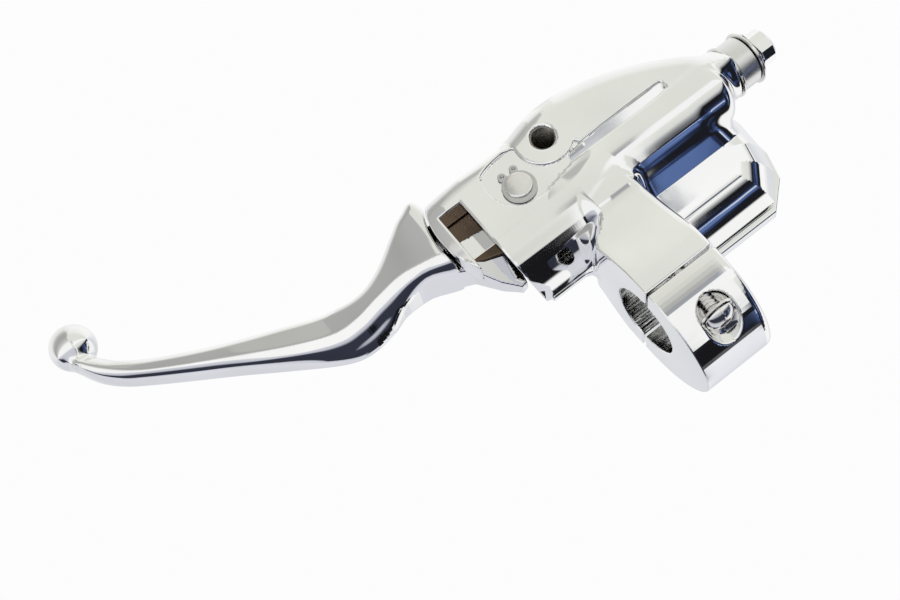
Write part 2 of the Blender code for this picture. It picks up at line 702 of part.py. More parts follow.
def root_outline():
    """The part inside the housing: pivot eye and the short arm to the reaction pin."""
    eye = arc(PIVOT_X, PIVOT_Y, 0.0090, 85, 180, 5)
    arm = arc(PIVOT_X, BORE_Y, 0.0080, 185, 350, 8)
    inner = [(0.0290, 0.0470), (0.0330, 0.0440), (0.0350, 0.0410), (0.0400, 0.0410),
             (0.0455, 0.0480), (0.0560, 0.0530)]
    return eye + arm + inner + [(0.0560, 0.0720), (0.0460, 0.0695), (0.0330, 0.0682)]


def heel():
    """The thin stop that reaches back along the mouth, in the lever's upper half."""
    outline = [(0.0300, 0.0480), (0.0340, 0.0410), (0.0352, 0.0380), (0.0356, 0.0343),
               (0.0375, 0.0340), (0.0405, 0.0385), (0.0455, 0.0482), (0.0450, 0.0560)]
    return plate("lever_heel", outline, 0.0010, LEVER_HALF_THICKNESS - 0.0001)


def knuckle():
    """The thick shoulder just outside the ears, concentric with the pivot on its inner side."""
    inner = arc(PIVOT_X, PIVOT_Y, EAR_ARC_RADIUS + 0.0007, 31, -7, 5)
    outer = [(0.0580, 0.0530), (0.0660, 0.0540), (0.0660, 0.0700), (0.0600, 0.0750),
             (0.0530, 0.0775)]
    half = KNUCKLE_HALF_THICKNESS
    return plate("knuckle", inner + outer, -half, half)


def make_lever():
    """The lever is one casting with a bushed pivot eye, hung on an empty at the pivot."""
    half = LEVER_HALF_THICKNESS
    lever = plate("brake_lever", blade_outline(), -BLADE_HALF_THICKNESS, BLADE_HALF_THICKNESS,
                  smooth=True)
    bm = bmesh.new()
    bmesh.ops.create_uvsphere(bm, u_segments=24, v_segments=16, radius=BALL_RADIUS)
    ball = place("lever_ball", mesh_from(bm, "lever_ball"), (BALL_X, BALL_Y, 0))
    join(lever, plate("lever_root", root_outline(), -half, half), heel(), knuckle(), ball)
    cut(lever,
        rod("pivot_eye", (PIVOT_X, PIVOT_Y, -0.0200), 0.0400, 0.0067, "Z"),
        rod("reaction_eye", (PIVOT_X, BORE_Y, -0.0200), 0.0400, REACTION_PIN_RADIUS + 0.0003, "Z"),
        box("rod_slot", (0.0050, BORE_Y - 0.0090, -0.0036), (PIVOT_X, BORE_Y + 0.0062, 0.0036)))
    finish(lever, "chrome")
    bushing = ring("pivot_bushing", PIN_RADIUS + 0.0002, 0.0064, -half, half,
                   (PIVOT_X, PIVOT_Y, 0), "Z")
    finish(bushing, "bronze")
    pin = rod("reaction_pin", (PIVOT_X, BORE_Y, -0.0060), 0.0120, REACTION_PIN_RADIUS, "Z")
    cut(pin, rod("rod_seat", (0.0080, BORE_Y, 0), 0.0071, 0.0040, "X", 24))
    finish(pin, "bright_steel")
    lever_axis = empty_at("lever_axis", PIVOT_X, PIVOT_Y)
    reaction_axis = empty_at("reaction_axis", PIVOT_X, BORE_Y, lever_axis)
    hang(lever, lever_axis)
    hang(bushing, lever_axis)
    hang(pin, reaction_axis)


make_housing()
make_cover()
make_gasket()
make_sight_glass()
make_clamp_cap()
make_banjo_parts()
make_pivot_pin()
make_retaining_ring()
make_snap_ring()
make_wiper()
make_piston()
make_lever()
bpy.context.view_layer.update()
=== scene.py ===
import json
import math

import bpy
import numpy as np
from mathutils import Matrix, Vector


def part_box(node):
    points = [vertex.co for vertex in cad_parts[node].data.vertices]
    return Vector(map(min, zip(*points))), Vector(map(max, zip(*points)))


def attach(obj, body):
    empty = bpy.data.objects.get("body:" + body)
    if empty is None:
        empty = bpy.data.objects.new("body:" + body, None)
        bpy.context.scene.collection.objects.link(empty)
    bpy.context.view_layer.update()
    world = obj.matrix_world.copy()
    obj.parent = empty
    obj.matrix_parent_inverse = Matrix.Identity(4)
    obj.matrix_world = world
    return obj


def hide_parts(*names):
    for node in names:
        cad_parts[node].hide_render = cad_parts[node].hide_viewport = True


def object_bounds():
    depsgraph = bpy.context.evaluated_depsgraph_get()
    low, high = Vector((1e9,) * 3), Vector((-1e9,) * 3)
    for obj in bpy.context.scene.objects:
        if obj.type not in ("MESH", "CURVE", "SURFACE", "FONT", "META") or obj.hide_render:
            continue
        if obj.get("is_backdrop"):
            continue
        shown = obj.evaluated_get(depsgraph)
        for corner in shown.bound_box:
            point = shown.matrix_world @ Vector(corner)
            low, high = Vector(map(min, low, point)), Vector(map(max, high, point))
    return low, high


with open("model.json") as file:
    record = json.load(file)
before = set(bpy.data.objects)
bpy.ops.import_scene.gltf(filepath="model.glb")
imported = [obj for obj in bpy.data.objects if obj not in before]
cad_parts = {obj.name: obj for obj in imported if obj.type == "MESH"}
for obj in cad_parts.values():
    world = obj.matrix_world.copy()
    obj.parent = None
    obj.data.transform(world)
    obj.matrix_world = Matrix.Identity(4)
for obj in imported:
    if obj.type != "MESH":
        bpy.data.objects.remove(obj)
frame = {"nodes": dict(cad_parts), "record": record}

# Shapes are worked out in millimetres and made in metres. The cast and forged pieces are
# signed distance fields, blended as a casting is, and meshed on their zero surface.
MM = 0.001
CAD_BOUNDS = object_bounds()


def box_mm(node):
    """The node's lowest and highest corners, in millimetres."""
    low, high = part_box(node)
    return np.array(low) / MM, np.array(high) / MM


def centre_mm(node):
    low, high = box_mm(node)
    return (low + high) / 2


PIN = centre_mm("pivot_pin")
BORE = centre_mm("piston")
PORT = centre_mm("banjo_spacer")
PORT_FACE_X = box_mm("banjo_washer_inner")[1][0] + 0.3
MOUNTS = {mount["name"]: np.array(mount["pos_m"]) / MM for mount in frame["record"]["mounts"]}
MIRROR = np.array([MOUNTS["mirror_boss_upper"][0], MOUNTS["mirror_boss_lower"][1]])
CAP_LOW, CAP_HIGH = box_mm("clamp_cap")
GASKET_LOW, GASKET_HIGH = box_mm("reservoir_gasket")
COVER_LOW, COVER_HIGH = box_mm("reservoir_cover")
RING_LOW, RING_HIGH = box_mm("pivot_retaining_ring")
CLAMP_HALF_WIDTH = CAP_HIGH[0]
CLAMP_HALF_HEIGHT = CAP_HIGH[2]
RIM_Z = GASKET_HIGH[2] - 1.3
SCREW_Z = centre_mm("clamp_screw_upper")[2]

BAR_RADIUS = 12.7
TUBE_RADIUS = 16.4
FLAT_Z = RING_HIGH[2] + 0.35
BOSS_Z = FLAT_Z - 0.8
EAR_RADIUS = 31.5
MOUTH_X = 33.0
MOUTH_SLOPE = 0.2126
NOTCH_Y = 64.4
NOTCH_X = (36.0, 45.0)
RECESS_RADIUS = 6.1
RECESS_FLOOR_Y = -9.5


# ---------------------------------------------------------------- distance fields

def union(a, b, blend):
    """Joins two fields with a fillet of about the blend's size."""
    mix = np.clip(0.5 + 0.5 * (b - a) / blend, 0, 1)
    return b + (a - b) * mix - blend * mix * (1 - mix)


def cut(a, b, blend=0.6):
    """Takes b away from a, with a rounded edge."""
    return -union(-a, b, blend)


def meet(a, b, blend=0.6):
    """What a and b have in common, with a rounded edge."""
    return -union(-a, -b, blend)


def circle(u, v, centre, radius):
    return np.hypot(u - centre[0], v - centre[1]) - radius


def slab(u, low, high):
    return np.abs(u - (low + high) / 2) - (high - low) / 2


def extrude(across, along, radius):
    """A flat shape given length, with its rim rounded to the radius."""
    a, b = across + radius, along + radius
    return np.minimum(np.maximum(a, b), 0) + np.hypot(np.maximum(a, 0), np.maximum(b, 0)) - radius


def block(x, y, z, low, high, radius=0.5):
    """A box with all of its edges rounded."""
    flat = extrude(slab(x, low[0], high[0]), slab(y, low[1], high[1]), radius)
    return extrude(flat, slab(z, low[2], high[2]), radius)


def polygon(u, v, points):
    """Signed distance to a closed outline."""
    points = np.asarray(points, float)
    shape = np.broadcast(u, v).shape
    nearest = np.full(shape, 1e9)
    inside = np.zeros(shape, bool)
    for (au, av), (bu, bv) in zip(points, np.roll(points, -1, axis=0)):
        du, dv = bu - au, bv - av
        along = np.clip(((u - au) * du + (v - av) * dv) / (du * du + dv * dv), 0, 1)
        nearest = np.minimum(nearest, (u - au - along * du) ** 2 + (v - av - along * dv) ** 2)
        if dv != 0:
            inside ^= ((av > v) != (bv > v)) & (u < du * (v - av) / dv + au)
    return np.where(inside, -1, 1) * np.sqrt(nearest)


def arc(centre, radius, start_deg, end_deg, steps=8):
    angles = np.radians(np.linspace(start_deg, end_deg, steps + 1))
    return [(centre[0] + radius * math.cos(t), centre[1] + radius * math.sin(t)) for t in angles]


def rounded_outline(points, steps=6):
    """A closed smooth curve through the points."""
    points = np.asarray(points, float)
    before, after = np.roll(points, 1, axis=0), np.roll(points, -1, axis=0)
    beyond = np.roll(points, -2, axis=0)
    smooth = []
    for p0, p1, p2, p3 in zip(before, points, after, beyond):
        for t in np.arange(steps) / steps:
            smooth.append(0.5 * (2 * p1 + (p2 - p0) * t + (2 * p0 - 5 * p1 + 4 * p2 - p3) * t ** 2
                                 + (3 * p1 - p0 - 3 * p2 + p3) * t ** 3))
    return np.array(smooth)


def ease(x, low, high):
    """0 below low, 1 above high, and a smooth step between."""
    t = np.clip((x - low) / (high - low), 0, 1)
    return t * t * (3 - 2 * t)


# ---------------------------------------------------------------- meshing

def slope(field, points, reach=0.02):
    """The field's gradient at loose points."""
    parts = []
    for axis in range(3):
        step = np.zeros(3)
        step[axis] = reach
        ahead, behind = points + step, points - step
        parts.append(field(*ahead.T) - field(*behind.T))
    return np.stack(parts, axis=1) / (2 * reach)


def sign_changes(value, origin, cell):
    """Every grid edge that crosses the surface: its place, its four cells and its direction."""
    shape = np.array(value.shape)
    for axis in range(3):
        ahead = [slice(None)] * 3
        behind = [slice(None)] * 3
        ahead[axis], behind[axis] = slice(1, None), slice(None, -1)
        start, end = value[tuple(behind)], value[tuple(ahead)]
        index = np.argwhere((start < 0) != (end < 0))
        first, second = start[tuple(index.T)], end[tuple(index.T)]
        place = index.astype(float)
        place[:, axis] += first / (first - second)
        u, v = (axis + 1) % 3, (axis + 2) % 3
        corners = []
        for du, dv in ((-1, -1), (0, -1), (0, 0), (-1, 0)):
            neighbour = index.copy()
            neighbour[:, u] += du
            neighbour[:, v] += dv
            corners.append(np.ravel_multi_index(neighbour.T, shape, mode="clip"))
        yield origin + place * cell, np.stack(corners, axis=1), first < 0


def settle(cells, points, normals, count):
    """The point in each cell that lies best on all the tangent planes that cross it."""
    def total(values):
        return np.bincount(cells, weights=values, minlength=count)

    weight = total(np.ones(len(cells)))
    middle = np.stack([total(points[:, i]) / weight for i in range(3)], axis=1)
    local = points - middle[cells]
    height = np.einsum("ij,ij->i", normals, local)
    system = np.zeros((count, 3, 3))
    for i in range(3):
        for j in range(i, 3):
            system[:, i, j] = system[:, j, i] = total(normals[:, i] * normals[:, j])
    system += 0.08 * np.eye(3)
    right = np.stack([total(normals[:, i] * height) for i in range(3)], axis=1)
    return middle + np.linalg.solve(system, right[:, :, None])[:, :, 0]


def surface_mesh(name, field, low, high, cell):
    """Meshes a field's zero surface, with crisp edges kept and normals from the field."""
    low = np.asarray(low, float) - 1.5 * cell
    axes = [np.arange(a, b + 1.5 * cell, cell) for a, b in zip(low, high)]
    value = field(*np.ix_(*axes))
    value = np.where(value == 0, 1e-9, value)
    places, quads, outward = [], [], []
    for place, corners, rising in sign_changes(value, low, cell):
        places.append(place)
        quads.append(corners)
        outward.append(rising)
    places, quads, outward = map(np.concatenate, (places, quads, outward))
    normals = slope(field, places)
    normals /= np.linalg.norm(normals, axis=1, keepdims=True)
    used, cells = np.unique(quads, return_inverse=True)
    cells = cells.reshape(quads.shape)
    repeat = np.repeat(np.arange(len(places)), 4)
    points = settle(cells.ravel(), places[repeat], normals[repeat], len(used))
    corner = low + np.stack(np.unravel_index(used, value.shape), axis=1) * cell
    points = np.clip(points, corner - 0.1 * cell, corner + 1.1 * cell)
    for _ in range(2):
        gradient = slope(field, points)
        length = np.maximum((gradient ** 2).sum(axis=1), 0.1)
        move = (field(*points.T) / length)[:, None] * gradient
        points -= np.clip(move, -0.4 * cell, 0.4 * cell)
    faces = np.where(outward[:, None], cells, cells[:, ::-1])
    mesh = bpy.data.meshes.new(name)
    mesh.from_pydata((points * MM).tolist(), [], faces.tolist())
    mesh.validate()
    mesh.shade_smooth()
    direction = slope(field, points)
    direction /= np.maximum(np.linalg.norm(direction, axis=1, keepdims=True), 1e-9)
    if len(mesh.vertices) == len(points):
        mesh.normals_split_custom_set_from_vertices(direction.tolist())
    return mesh


def add_piece(name, mesh, body, node, material):
    """Links a piece, gives it its material, sets what it rides on, and hides the CAD node it
    replaces.
    """
    piece = bpy.data.objects.new(name, mesh)
    bpy.context.scene.collection.objects.link(piece)
    mesh.materials.clear()
    mesh.materials.append(material)
    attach(piece, body)
    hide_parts(node)
    return piece


# ---------------------------------------------------------------- materials

class Shader:
    """A Principled material and short calls for the nodes that feed it."""

    def __init__(self, name, colour, roughness, metallic):
        self.material = bpy.data.materials.new(name)
        self.material.use_nodes = True
        self.tree = self.material.node_tree
        self.surface = self.tree.nodes["Principled BSDF"]
        self.surface.inputs["Base Color"].default_value = (*colour, 1)
        self.surface.inputs["Roughness"].default_value = roughness
        self.surface.inputs["Metallic"].default_value = metallic
        self.place = self.tree.nodes.new("ShaderNodeTexCoord").outputs["Object"]

    def node(self, kind, **settings):
        made = self.tree.nodes.new("ShaderNode" + kind)
        for key, value in settings.items():
            setattr(made, key, value)
        return made

    def link(self, source, target):
        self.tree.links.new(source, target)

    def noise(self, scale, detail=4.0, stretch=None):
        """Noise in object space, finer where the scale is larger."""
        texture = self.node("TexNoise")
        texture.inputs["Scale"].default_value = scale
        texture.inputs["Detail"].default_value = detail
        source = self.place
        if stretch is not None:
            mapping = self.node("Mapping")
            mapping.inputs["Scale"].default_value = stretch
            self.link(source, mapping.inputs["Vector"])
            source = mapping.outputs["Vector"]
        self.link(source, texture.inputs["Vector"])
        return texture.outputs["Fac"]

    def ramp(self, source, stops):
        """Maps a value through (position, colour) stops."""
        ramp = self.node("ValToRGB")
        elements = ramp.color_ramp.elements
        while len(elements) < len(stops):
            elements.new(0.5)
        for element, (position, colour) in zip(elements, stops):
            element.position = position
            element.color = (*colour, 1)
        self.link(source, ramp.inputs["Fac"])
        return ramp.outputs["Color"]

    def remap(self, source, low, high):
        """Maps a noise value onto a range."""
        scale = self.node("MapRange")
        scale.inputs["From Min"].default_value = 0.3
        scale.inputs["From Max"].default_value = 0.7
        scale.inputs["To Min"].default_value = low
        scale.inputs["To Max"].default_value = high
        self.link(source, scale.inputs["Value"])
        return scale.outputs["Result"]

    def bump(self, source, strength, distance, under=None):
        bump = self.node("Bump")
        bump.inputs["Strength"].default_value = strength
        bump.inputs["Distance"].default_value = distance
        self.link(source, bump.inputs["Height"])
        if under is not None:
            self.link(under, bump.inputs["Normal"])
        return bump.outputs["Normal"]


def chrome_material():
    """Polished plate over a cast surface: faint long waves, fine pits and wiped smears."""
    made = Shader("polished_chrome", (0.90, 0.90, 0.89), 0.04, 1.0)
    tint = made.ramp(made.noise(35, 3), [(0.35, (0.88, 0.88, 0.875)), (0.65, (0.93, 0.93, 0.925))])
    made.link(tint, made.surface.inputs["Base Color"])
    smear = made.remap(made.noise(60, 5, (1.0, 2.5, 1.0)), 0.025, 0.075)
    made.link(smear, made.surface.inputs["Roughness"])
    waves = made.bump(made.noise(90, 1.0), 0.10, 0.0004)
    pits = made.bump(made.noise(1800, 2.0), 0.03, 0.00004, under=waves)
    made.link(pits, made.surface.inputs["Normal"])
    return made.material


def turned_material(name, colour, roughness, axis, spread=0.06):
    """Machined metal with tool marks that run round the given axis."""
    made = Shader(name, colour, roughness, 1.0)
    stretch = [2.0, 2.0, 2.0]
    stretch["XYZ".index(axis)] = 900.0
    marks = made.noise(1.0, 2.0, tuple(stretch))
    stain = made.noise(180, 5)
    darker = tuple(0.86 * channel for channel in colour)
    tint = made.ramp(stain, [(0.3, darker), (0.7, colour)])
    made.link(tint, made.surface.inputs["Base Color"])
    made.link(made.remap(stain, roughness - spread, roughness + spread),
              made.surface.inputs["Roughness"])
    made.link(made.bump(marks, 0.25, 0.00006), made.surface.inputs["Normal"])
    return made.material


def plated_material():
    """Bright zinc plate: slightly clouded, with small scuffs."""
    made = Shader("bright_plated_steel", (0.84, 0.83, 0.81), 0.16, 1.0)
    cloud = made.noise(260, 6)
    tint = made.ramp(cloud, [(0.3, (0.76, 0.75, 0.72)), (0.7, (0.90, 0.89, 0.88))])
    made.link(tint, made.surface.inputs["Base Color"])
    made.link(made.remap(cloud, 0.10, 0.24), made.surface.inputs["Roughness"])
    made.link(made.bump(made.noise(1400, 4), 0.10, 0.00004), made.surface.inputs["Normal"])
    return made.material


def rubber_material():
    made = Shader("black_rubber", (0.018, 0.018, 0.019), 0.62, 0.0)
    cloud = made.noise(320, 5)
    tint = made.ramp(cloud, [(0.3, (0.012, 0.012, 0.013)), (0.7, (0.035, 0.035, 0.036))])
    made.link(tint, made.surface.inputs["Base Color"])
    made.link(made.remap(cloud, 0.5, 0.8), made.surface.inputs["Roughness"])
    made.link(made.bump(made.noise(2500, 3), 0.2, 0.00006), made.surface.inputs["Normal"])
    return made.material


def glass_material():
    """A clear moulded lens with a faint haze."""
    made = Shader("sight_lens", (0.92, 0.94, 0.90), 0.05, 0.0)
    made.surface.inputs["Transmission Weight"].default_value = 0.85
    made.surface.inputs["IOR"].default_value = 1.49
    haze = made.noise(500, 4)
    made.link(made.remap(haze, 0.03, 0.14), made.surface.inputs["Roughness"])
    made.link(made.bump(haze, 0.05, 0.00005), made.surface.inputs["Normal"])
    return made.material


CHROME = chrome_material()
SATIN = turned_material("satin_turned_steel", (0.86, 0.86, 0.85), 0.30, "X")
# Tan grey for the mirror hole's threaded wall: partly the bare thread's own colour, partly painted
# shade of the hole's inside.
TAPPED_AND_SHADED = turned_material("tapped_wall_and_painted_shade", (0.34, 0.32, 0.27), 0.38, "Z")
# Dark brown for the lever's root: painted shade of the notch it sits in, inside the housing.
ROOT_PAINTED_SHADE = turned_material("root_painted_shade", (0.16, 0.115, 0.08), 0.30, "Y")
BRIGHT = plated_material()
SPRING_STEEL = turned_material("spring_steel", (0.66, 0.66, 0.65), 0.24, "Z")
ANODISED = turned_material("anodised_aluminium", (0.42, 0.44, 0.46), 0.32, "X")
BRONZE = turned_material("sintered_bronze", (0.45, 0.31, 0.16), 0.42, "Z")
RUBBER = rubber_material()
GLASS = glass_material()


# ---------------------------------------------------------------- housing

def tube_field(x, y, z):
    """The round body: wide over the lever's pocket, narrower towards the line port."""
    narrow = 1 - ease(x, -12.0, 6.0)
    centre_y = BORE[1] + 4.0 * narrow
    centre_z = -3.1 * narrow
    round_part = np.hypot(y - centre_y, z - centre_z) - TUBE_RADIUS + 3.4 * narrow
    return extrude(round_part * 0.97, slab(x, -59.5, 60.0), 6.0)


def shoulder_field(x, y, z):
    """The outboard block: a sloping rear wall down from the tube to a lip, then the deck."""
    outline = [(46, -14.0), (36, -13.6), (32.6, -10.6), (26.6, 3.6), (26.4, 5.6), (28.5, 9.5),
               (33.5, 15.5), (37, RIM_Z), (56, RIM_Z), (60, 12)]
    wall = extrude(polygon(y, z, outline), slab(x, -10.0, 60.0), 0.6)
    lip = block(x, y, z, (-10.0, 25.8, 3.4), (60.0, 30.0, 6.0), 0.35)
    return union(wall, lip, 0.5)


# Outlines are in object millimetres. Many of their points, the lever's and the pocket's most of
# all, began as places picked in the photograph, which a separate program turned into millimetres
# through the fitted camera. The others were moved or added against the photograph.
# Positions should come from the frame instead, and these don't.
POCKET_OUTLINE = rounded_outline([
    (25.2, 67.8), (27.1, 63.1), (26.9, 57.6), (24.9, 53.4), (20.8, 50.4), (14.9, 49.8), (8.1, 51.4),
    (-0.9, 53.2), (-7.0, 55.0), (-5.0, 60.0), (4.0, 66.0), (14.0, 70.0),
], 5)
WEB_OUTLINE = rounded_outline([
    (46.5, 71.0), (42.0, 73.0), (28, 74.2), (17, 74.8), (9.0, 76.6), (0, 78.9), (-10, 79.4),
    (-21, 77.6), (-34, 73.6), (-48, 66.8), (-60, 57.5), (-62, 46), (30, 46), (52, 50), (52, 62),
], 5)
ARM_OUTLINE = rounded_outline([
    (-6, -21.2), (0.4, -21.6), (6.5, -21.5), (11.5, -20.7), (17, -18.9), (24, -16.3), (32, -14.0),
    (46, -10), (46, 8), (32, 10.2), (23, 13.2), (15, 18.0), (8, 21.2), (0.4, 21.6), (-6, 21.2),
], 5)


WEB_TOP_Z = 12.6
EAR_LOW_Z = -16.2
EAR_HIGH_Z = 12.0


def lobe_field(x, y, z):
    """The ears and the web forward of the tube, level with the mirror boss."""
    web = extrude(polygon(x, y, WEB_OUTLINE), slab(z, BOSS_Z, WEB_TOP_Z), 8.0)
    ear = [(14.0, 46.0), (52, 46.0), (52, 68), (46.5, 71.5), (32, 73.0), (14.0, 71.5)]
    thick = extrude(polygon(x, y, ear), slab(z, EAR_LOW_Z, EAR_HIGH_Z), 4.0)
    return union(web, thick, 4.0)


def arm_field(x, y, z):
    """The clamp's front half and its arm: square outboard edge, rounded inboard edge."""
    flat = polygon(y, z, ARM_OUTLINE)
    soft = extrude(flat, slab(x, -CLAMP_HALF_WIDTH, 60.0), 3.2)
    outboard = CLAMP_HALF_WIDTH - 10.0 * ease(y, 23, 34)
    crisp = extrude(flat, np.maximum(x - outboard, -60 - x) * 0.8, 0.35)
    split = 0.4 - y
    return meet(np.maximum(np.maximum(soft, crisp), split), split, 0.5)


def tank_field(x, y, z):
    """The reservoir: a sloping wall down from the tube, a shallow floor and a tapered rear."""
    drop = RIM_Z - z
    plan = [(-6, 9.6), (-52.5, 10.0), (-60.2, 18.5), (-63.2, 27.0), (-64.4, 40.0),
            (-62.5, 52.0), (-55, 58.0), (-6, 58.0)]
    walls = (polygon(x - 0.22 * drop, y, plan) + 0.30 * drop) * 0.93
    section = [(52, -14.4), (44, -13.9), (39.6, -12.0), (30.9, -0.6), (19.5, 2.2), (14.6, 3.4),
               (2, 6.6), (2, RIM_Z + 10), (60, RIM_Z + 10), (60, -6)]
    under = polygon(y, z, section) + 0 * x
    groove = block(x, y, z, (-45, 18.6, 1.4), (-5, 19.9, 2.7), 0.3)
    return cut(meet(walls, under, 8.0), groove, 0.4)


def tank_hollow_field(x, y, z):
    inner = rim_plan(x, y, GASKET_LOW, GASKET_HIGH) + 4.6
    shallow = extrude(inner, slab(z, 11.0, 30.0), 0.8)
    deep = block(x, y, z, (-44, 19, 5.8), (-16.5, 29, 14))
    return np.minimum(shallow, deep)


def mouth_field(x, y, z):
    """What is cut away outboard of the sloping mouth, and the notch in the lower ear."""
    beyond = MOUTH_X - MOUTH_SLOPE * z - x
    open_side = np.maximum(beyond, y - NOTCH_Y)
    above = np.maximum(open_side, -7.0 - z)
    notch = np.maximum(open_side, x - NOTCH_X[1])
    return np.minimum(above, notch)


def lever_room_field(x, y, z):
    """The slot that the lever's root and heel swing in."""
    pocket = block(x, y, z, (8, 34, -7), (70, 70, 7), 0.6)
    inner = block(x, y, z, (5, 35, -7), (20, 56, 7), 0.6)
    heel = block(x, y, z, (25.4, 29.0, 0.0), (70, 40, 7), 0.4)
    return np.minimum(np.minimum(pocket, inner), heel)


def round_holes_field(x, y, z):
    """Every round hole of the housing but the bar's."""
    port = extrude(circle(y, z, PORT[1:], 5.35), slab(x, -80, -49), 0.3)
    bore = np.maximum(circle(y, z, BORE[1:], 8.0), slab(x, -46, 30))
    groove = np.maximum(circle(y, z, BORE[1:], 9.2), slab(x, 2.2, 4.0))
    pin = circle(x, y, PIN, 5.05) + 0 * z
    seat = np.maximum(circle(x, y, PIN, 7.6), 12.1 - z)
    mirror = circle(x, y, MIRROR, 4.35) + 0 * z
    chamfer = circle(x, y, MIRROR, 4.35) - np.maximum(BOSS_Z + 0.5 - z, 0)
    threads = np.maximum(circle(x, np.abs(z), (0, SCREW_Z), 3.2), y - 8.0)
    parts = [port, bore, groove, pin, seat, mirror, chamfer, threads]
    return np.minimum.reduce(np.broadcast_arrays(*parts))


def spot_face_field(x, y, z):
    """The milled flat round the pin, up to the mirror boss, and its run along the tube."""
    pocket = polygon(x, y, POCKET_OUTLINE)
    clear_of_boss = 10.2 - np.hypot(x - MIRROR[0], y - MIRROR[1])
    return np.maximum(meet(pocket, clear_of_boss, 1.0), z - FLAT_Z - 0.1)


def valley_field(x, y, z):
    """The flat-bottomed valley between the tube and the front web."""
    outline = [(-1, 54.4), (-6, 56.6), (-37.5, 57.4), (-41, 55.6), (-37.5, 53.6), (-6, 53.4)]
    tilt = z - (FLAT_Z + 0.9) + 0.30 * (y - 55.4)
    return np.maximum(polygon(x, y, rounded_outline(outline, 3)), tilt)


def housing_field(x, y, z):
    solid = union(tube_field(x, y, z), shoulder_field(x, y, z), 1.6)
    solid = union(solid, lobe_field(x, y, z), 1.2)
    port_boss = extrude(circle(y, z, PORT[1:], 9.4), slab(x, PORT_FACE_X, -40.0), 0.8)
    solid = union(solid, port_boss, 4.0)
    solid = union(solid, tank_field(x, y, z), 1.6)
    solid = meet(solid, z - RIM_Z, 0.5)
    solid = union(solid, arm_field(x, y, z), 4.5)
    solid = np.maximum(solid, 0.4 - y)
    solid = np.maximum(solid, np.abs(z) - CLAMP_HALF_HEIGHT)
    over_tank = np.maximum(x - COVER_HIGH[0] - 0.4, RIM_Z - z)
    solid = cut(solid, over_tank, 0.3)
    solid = cut(solid, mouth_field(x, y, z), 0.5)
    ear_end = np.maximum(EAR_RADIUS - np.hypot(x - PIN[0], y - PIN[1]), 30 - x)
    solid = cut(solid, ear_end + 0 * z, 0.5)
    solid = cut(solid, spot_face_field(x, y, z), 0.7)
    solid = cut(solid, valley_field(x, y, z), 0.9)
    solid = cut(solid, lever_room_field(x, y, z), 0.4)
    solid = cut(solid, tank_hollow_field(x, y, z), 0.4)
    solid = cut(solid, circle(y, z, (0, 0), BAR_RADIUS + 0.3) + 0 * x, 0.4)
    return cut(solid, round_holes_field(x, y, z), 0.3)


# ---------------------------------------------------------------- clamp cap

CAP_PROFILE = [(-5.0, 21.3), (-10.5, 20.3), (-16.0, 18.2), (-21.0, 15.0), (-25.2, 10.8),
               (-28.2, 5.8), (-29.7, 0.0)]


def cap_field(x, y, z):
    """The rear half of the clamp, with the two screw recesses breaking out of its back."""
    top = CLAMP_HALF_HEIGHT
    lower = [(along, -height) for along, height in CAP_PROFILE]
    outline = [(8.0, top - 0.6), (0.4, top), *CAP_PROFILE, *lower[-2::-1], (0.4, -top),
               (8.0, -top + 0.6)]
    smooth = rounded_outline(outline, 4)
    flat = polygon(y, z, smooth)
    soft = extrude(flat, slab(x, -CLAMP_HALF_WIDTH, 60.0), 3.2)
    crisp = extrude(flat, slab(x, -60.0, CLAMP_HALF_WIDTH), 0.35)
    split = y + 0.4
    solid = meet(np.maximum(np.maximum(soft, crisp), split), split, 0.5)
    solid = cut(solid, circle(y, z, (0, 0), BAR_RADIUS) + 0 * x, 0.3)
    behind = np.maximum(y - RECESS_FLOOR_Y + RECESS_RADIUS, 0)
    side = circle(x, np.abs(z), (0, SCREW_Z), 0)
    recess = np.hypot(side, behind) - RECESS_RADIUS
    solid = cut(solid, recess, 0.45)
    return cut(solid, side - 3.3 + 0 * y, 0.3)


# ---------------------------------------------------------------- lever

BALL = np.array([165.0, 114.5])
BALL_RADIUS = 8.0
BLADE_FRONT = [(46.0, 77.2), (53.6, 77.0), (61.0, 73.2), (70.5, 68.0), (80.0, 65.6), (93.0, 68.2),
               (106.0, 73.4), (119.0, 78.8), (132.0, 85.0), (145.5, 92.6), (155.0, 99.6),
               (161.5, 106.5)]
BLADE_REAR = [(168.0, 107.0), (164.5, 99.0), (158.5, 92.5), (151.0, 87.0), (139.0, 79.0),
              (126.3, 70.7), (111.6, 60.6), (96.5, 50.8), (87.5, 48.0), (77.5, 49.2),
              (70.0, 52.2), (60.0, 53.2), (46.0, 50.4)]
RIDGE = [(38.0, 52.0), (48.0, 55.0), (58.0, 57.6), (66.4, 59.4), (76.5, 59.0), (85.7, 57.8),
         (94.0, 58.4), (106.0, 63.6), (122.0, 72.4), (140.0, 83.0), (152.0, 91.0),
         (162.0, 101.0), (168.0, 110.0), (172.0, 118.0)]
RIDGE_CURVE = rounded_outline(RIDGE, 8)[8:-16]


def blade_faces(x, y):
    """The lever's under side, ridged along its length, and its plainer upper side."""
    ridge_x, ridge_y = RIDGE_CURVE.T
    across = (y - np.interp(x, ridge_x, ridge_y)) * 0.87
    crest = 12.2 - 5.4 * ease(x, 52, 86) - 1.2 * ease(x, 118, 160)
    soft = np.sqrt(across ** 2 + 0.12) - 0.34
    front = 0.06 + 0.22 * ease(x, 50, 74)
    rear = 0.40 + 0.34 * ease(-across, 2.5, 6.0)
    fall = np.where(across > 0, front, rear)
    under = np.minimum(-crest + fall * soft, -1.2)
    upper = 10.0 - 5.0 * ease(x, 56, 80)
    return under, upper - 0.10 * soft


def lever_eyes(x, y, z):
    """The two round eyes of the root and the slot that the piston's rod works in."""
    eyes = np.minimum(circle(x, y, PIN, 6.7), circle(x, y, (PIN[0], BORE[1]), 5.3))
    slot = block(x, y, z, (0, 36, -3.6), (PIN[0], 51.2, 3.6), 0.4)
    return np.minimum(eyes + 0 * z, slot)


